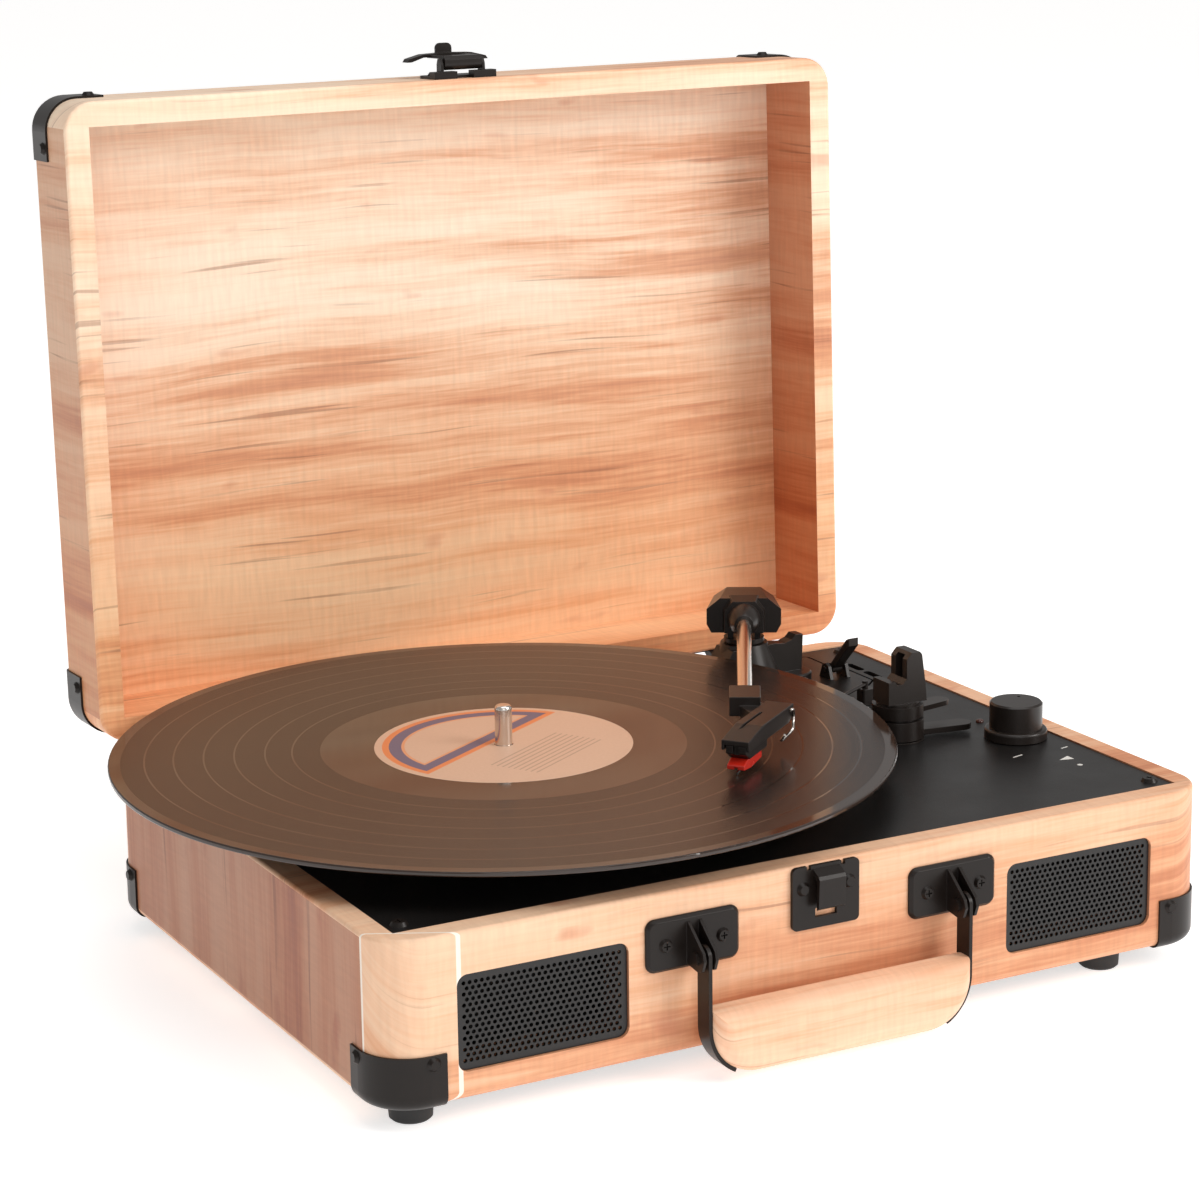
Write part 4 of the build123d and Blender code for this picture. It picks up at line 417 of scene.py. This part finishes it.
def lathe(profile, centre, steps=96):
    """Turn a list of (radius, height) points round an upright axis."""
    mesh = bmesh.new()
    rings = []
    for step in range(steps):
        angle = 2 * math.pi * step / steps
        rings.append([mesh.verts.new((centre[0] + r * math.cos(angle), centre[1] + r * math.sin(angle),
                                      centre[2] + h)) for r, h in profile])
    for step in range(steps):
        here, there = rings[step], rings[(step + 1) % steps]
        for k in range(len(profile) - 1):
            mesh.faces.new((here[k], there[k], there[k + 1], here[k + 1]))
    bmesh.ops.recalc_face_normals(mesh, faces=mesh.faces)
    return mesh


label_profile = [(LABEL_HOLE, -0.0001), (LABEL_HOLE, 0.00012), (LABEL_EDGE - 0.0006, 0.00012),
                 (LABEL_EDGE, 0.00004), (LABEL_EDGE, -0.0001)]
label_mesh = lathe(label_profile, RECORD, 128)
from_bmesh("record_label", label_mesh, label("label_paper", RECORD[0], RECORD[1]), "turntable")

# generic printed marks beside the volume knob: two ticks, a growing wedge and a dot
DECK_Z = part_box("deck_plate")[1][2] + 0.00006
mesh = bmesh.new()
for outline in (
    [(131.2, -58.9), (136.4, -57.7), (136.4, -56.9), (131.2, -58.1)],
    [(154.6, -58.6), (158.2, -57.8), (158.2, -57.0), (154.6, -57.8)],
    [(144.6, -70.6), (150.6, -72.2), (150.6, -67.6)],
):
    mesh.faces.new([mesh.verts.new((px * MM, py * MM, DECK_Z)) for px, py in outline])
DOT_X, DOT_Y, DOT_RADIUS, DOT_SIDES = 147.9, -79.6, 1.1, 16
dot = []
for side in range(DOT_SIDES):
    angle = 2 * math.pi * side / DOT_SIDES
    dot.append((DOT_X + DOT_RADIUS * math.cos(angle), DOT_Y + DOT_RADIUS * math.sin(angle)))
mesh.faces.new([mesh.verts.new((px * MM, py * MM, DECK_Z)) for px, py in dot])
print_white = textured("printed_white", (0.72, 0.70, 0.66), 0.5, 900.0, 0.05, 0.00003, spread=0.08)
from_bmesh("deck_marks", mesh, print_white, "case", smooth=False)

# ------------------------------------------------------------------ floor, light and camera
floor_mat = Mat("floor_paint", (0.86, 0.86, 0.86), 0.6)
floor_mat.bsdf.inputs["Emission Color"].default_value = (1.0, 0.995, 0.99, 1)
floor_mat.bsdf.inputs["Emission Strength"].default_value = 0.62
floor_mat.set("Roughness", floor_mat.math("ADD", 0.55, floor_mat.math(
    "MULTIPLY", floor_mat.noise(floor_mat.coord(), 30.0), 0.1)))
mesh = bmesh.new()
bmesh.ops.create_grid(mesh, x_segments=2, y_segments=2, size=12)
floor_data = bpy.data.meshes.new("floor")
mesh.to_mesh(floor_data)
mesh.free()
floor = bpy.data.objects.new("floor", floor_data)
bpy.context.scene.collection.objects.link(floor)
floor.data.materials.append(floor_mat.mat)

world = bpy.data.worlds.new("studio")
bpy.context.scene.world = world
world.use_nodes = True
sky = next(n for n in world.node_tree.nodes if n.type == "BACKGROUND")
sky.inputs[0].default_value = (1.0, 0.985, 0.97, 1)
sky.inputs[1].default_value = 0.42


def area(name, place, aim, size, energy, color=(1, 1, 1)):
    lamp = bpy.data.lights.new(name, "AREA")
    lamp.shape = "RECTANGLE"
    lamp.size, lamp.size_y = size
    lamp.energy = energy
    lamp.color = color
    ob = bpy.data.objects.new(name, lamp)
    bpy.context.scene.collection.objects.link(ob)
    ob.location = place
    ob.rotation_euler = (Vector(aim) - Vector(place)).to_track_quat("-Z", "Y").to_euler()


area("key", (1.5, -1.5, 1.3), (0, 0, 0.12), (1.1, 1.1), 30, (1.0, 0.97, 0.94))
area("top", (0.1, -0.4, 1.9), (0, 0.05, 0.1), (1.6, 1.4), 13)
area("front", (-0.7, -2.2, 0.9), (0, 0, 0.15), (1.4, 0.9), 6)

YAW, PITCH, ROLL = math.radians(28.295), math.radians(13.211), math.radians(-0.746)
ahead = Vector((math.sin(YAW) * math.cos(PITCH), math.cos(YAW) * math.cos(PITCH), -math.sin(PITCH)))
right = Vector((math.cos(YAW), -math.sin(YAW), 0))
up = right.cross(ahead)
cam_x = math.cos(ROLL) * right + math.sin(ROLL) * up
cam_y = -math.sin(ROLL) * right + math.cos(ROLL) * up
camera_data = bpy.data.cameras.new("camera")
camera_data.lens = 97.78
camera_data.sensor_width = 36
camera_data.sensor_fit = "HORIZONTAL"
camera_data.shift_x = -0.0070
camera_data.shift_y = -0.0487
camera_data.clip_start = 0.05
camera_data.clip_end = 60
camera = bpy.data.objects.new("camera", camera_data)
bpy.context.scene.collection.objects.link(camera)
turn = Matrix((cam_x, cam_y, -ahead)).transposed().to_4x4()
camera.matrix_world = Matrix.Translation((-0.5886, -1.0628, 0.4464)) @ turn
bpy.context.scene.camera = camera
bpy.context.scene.view_settings.view_transform = "Standard"
bpy.context.scene.view_settings.look = "None"
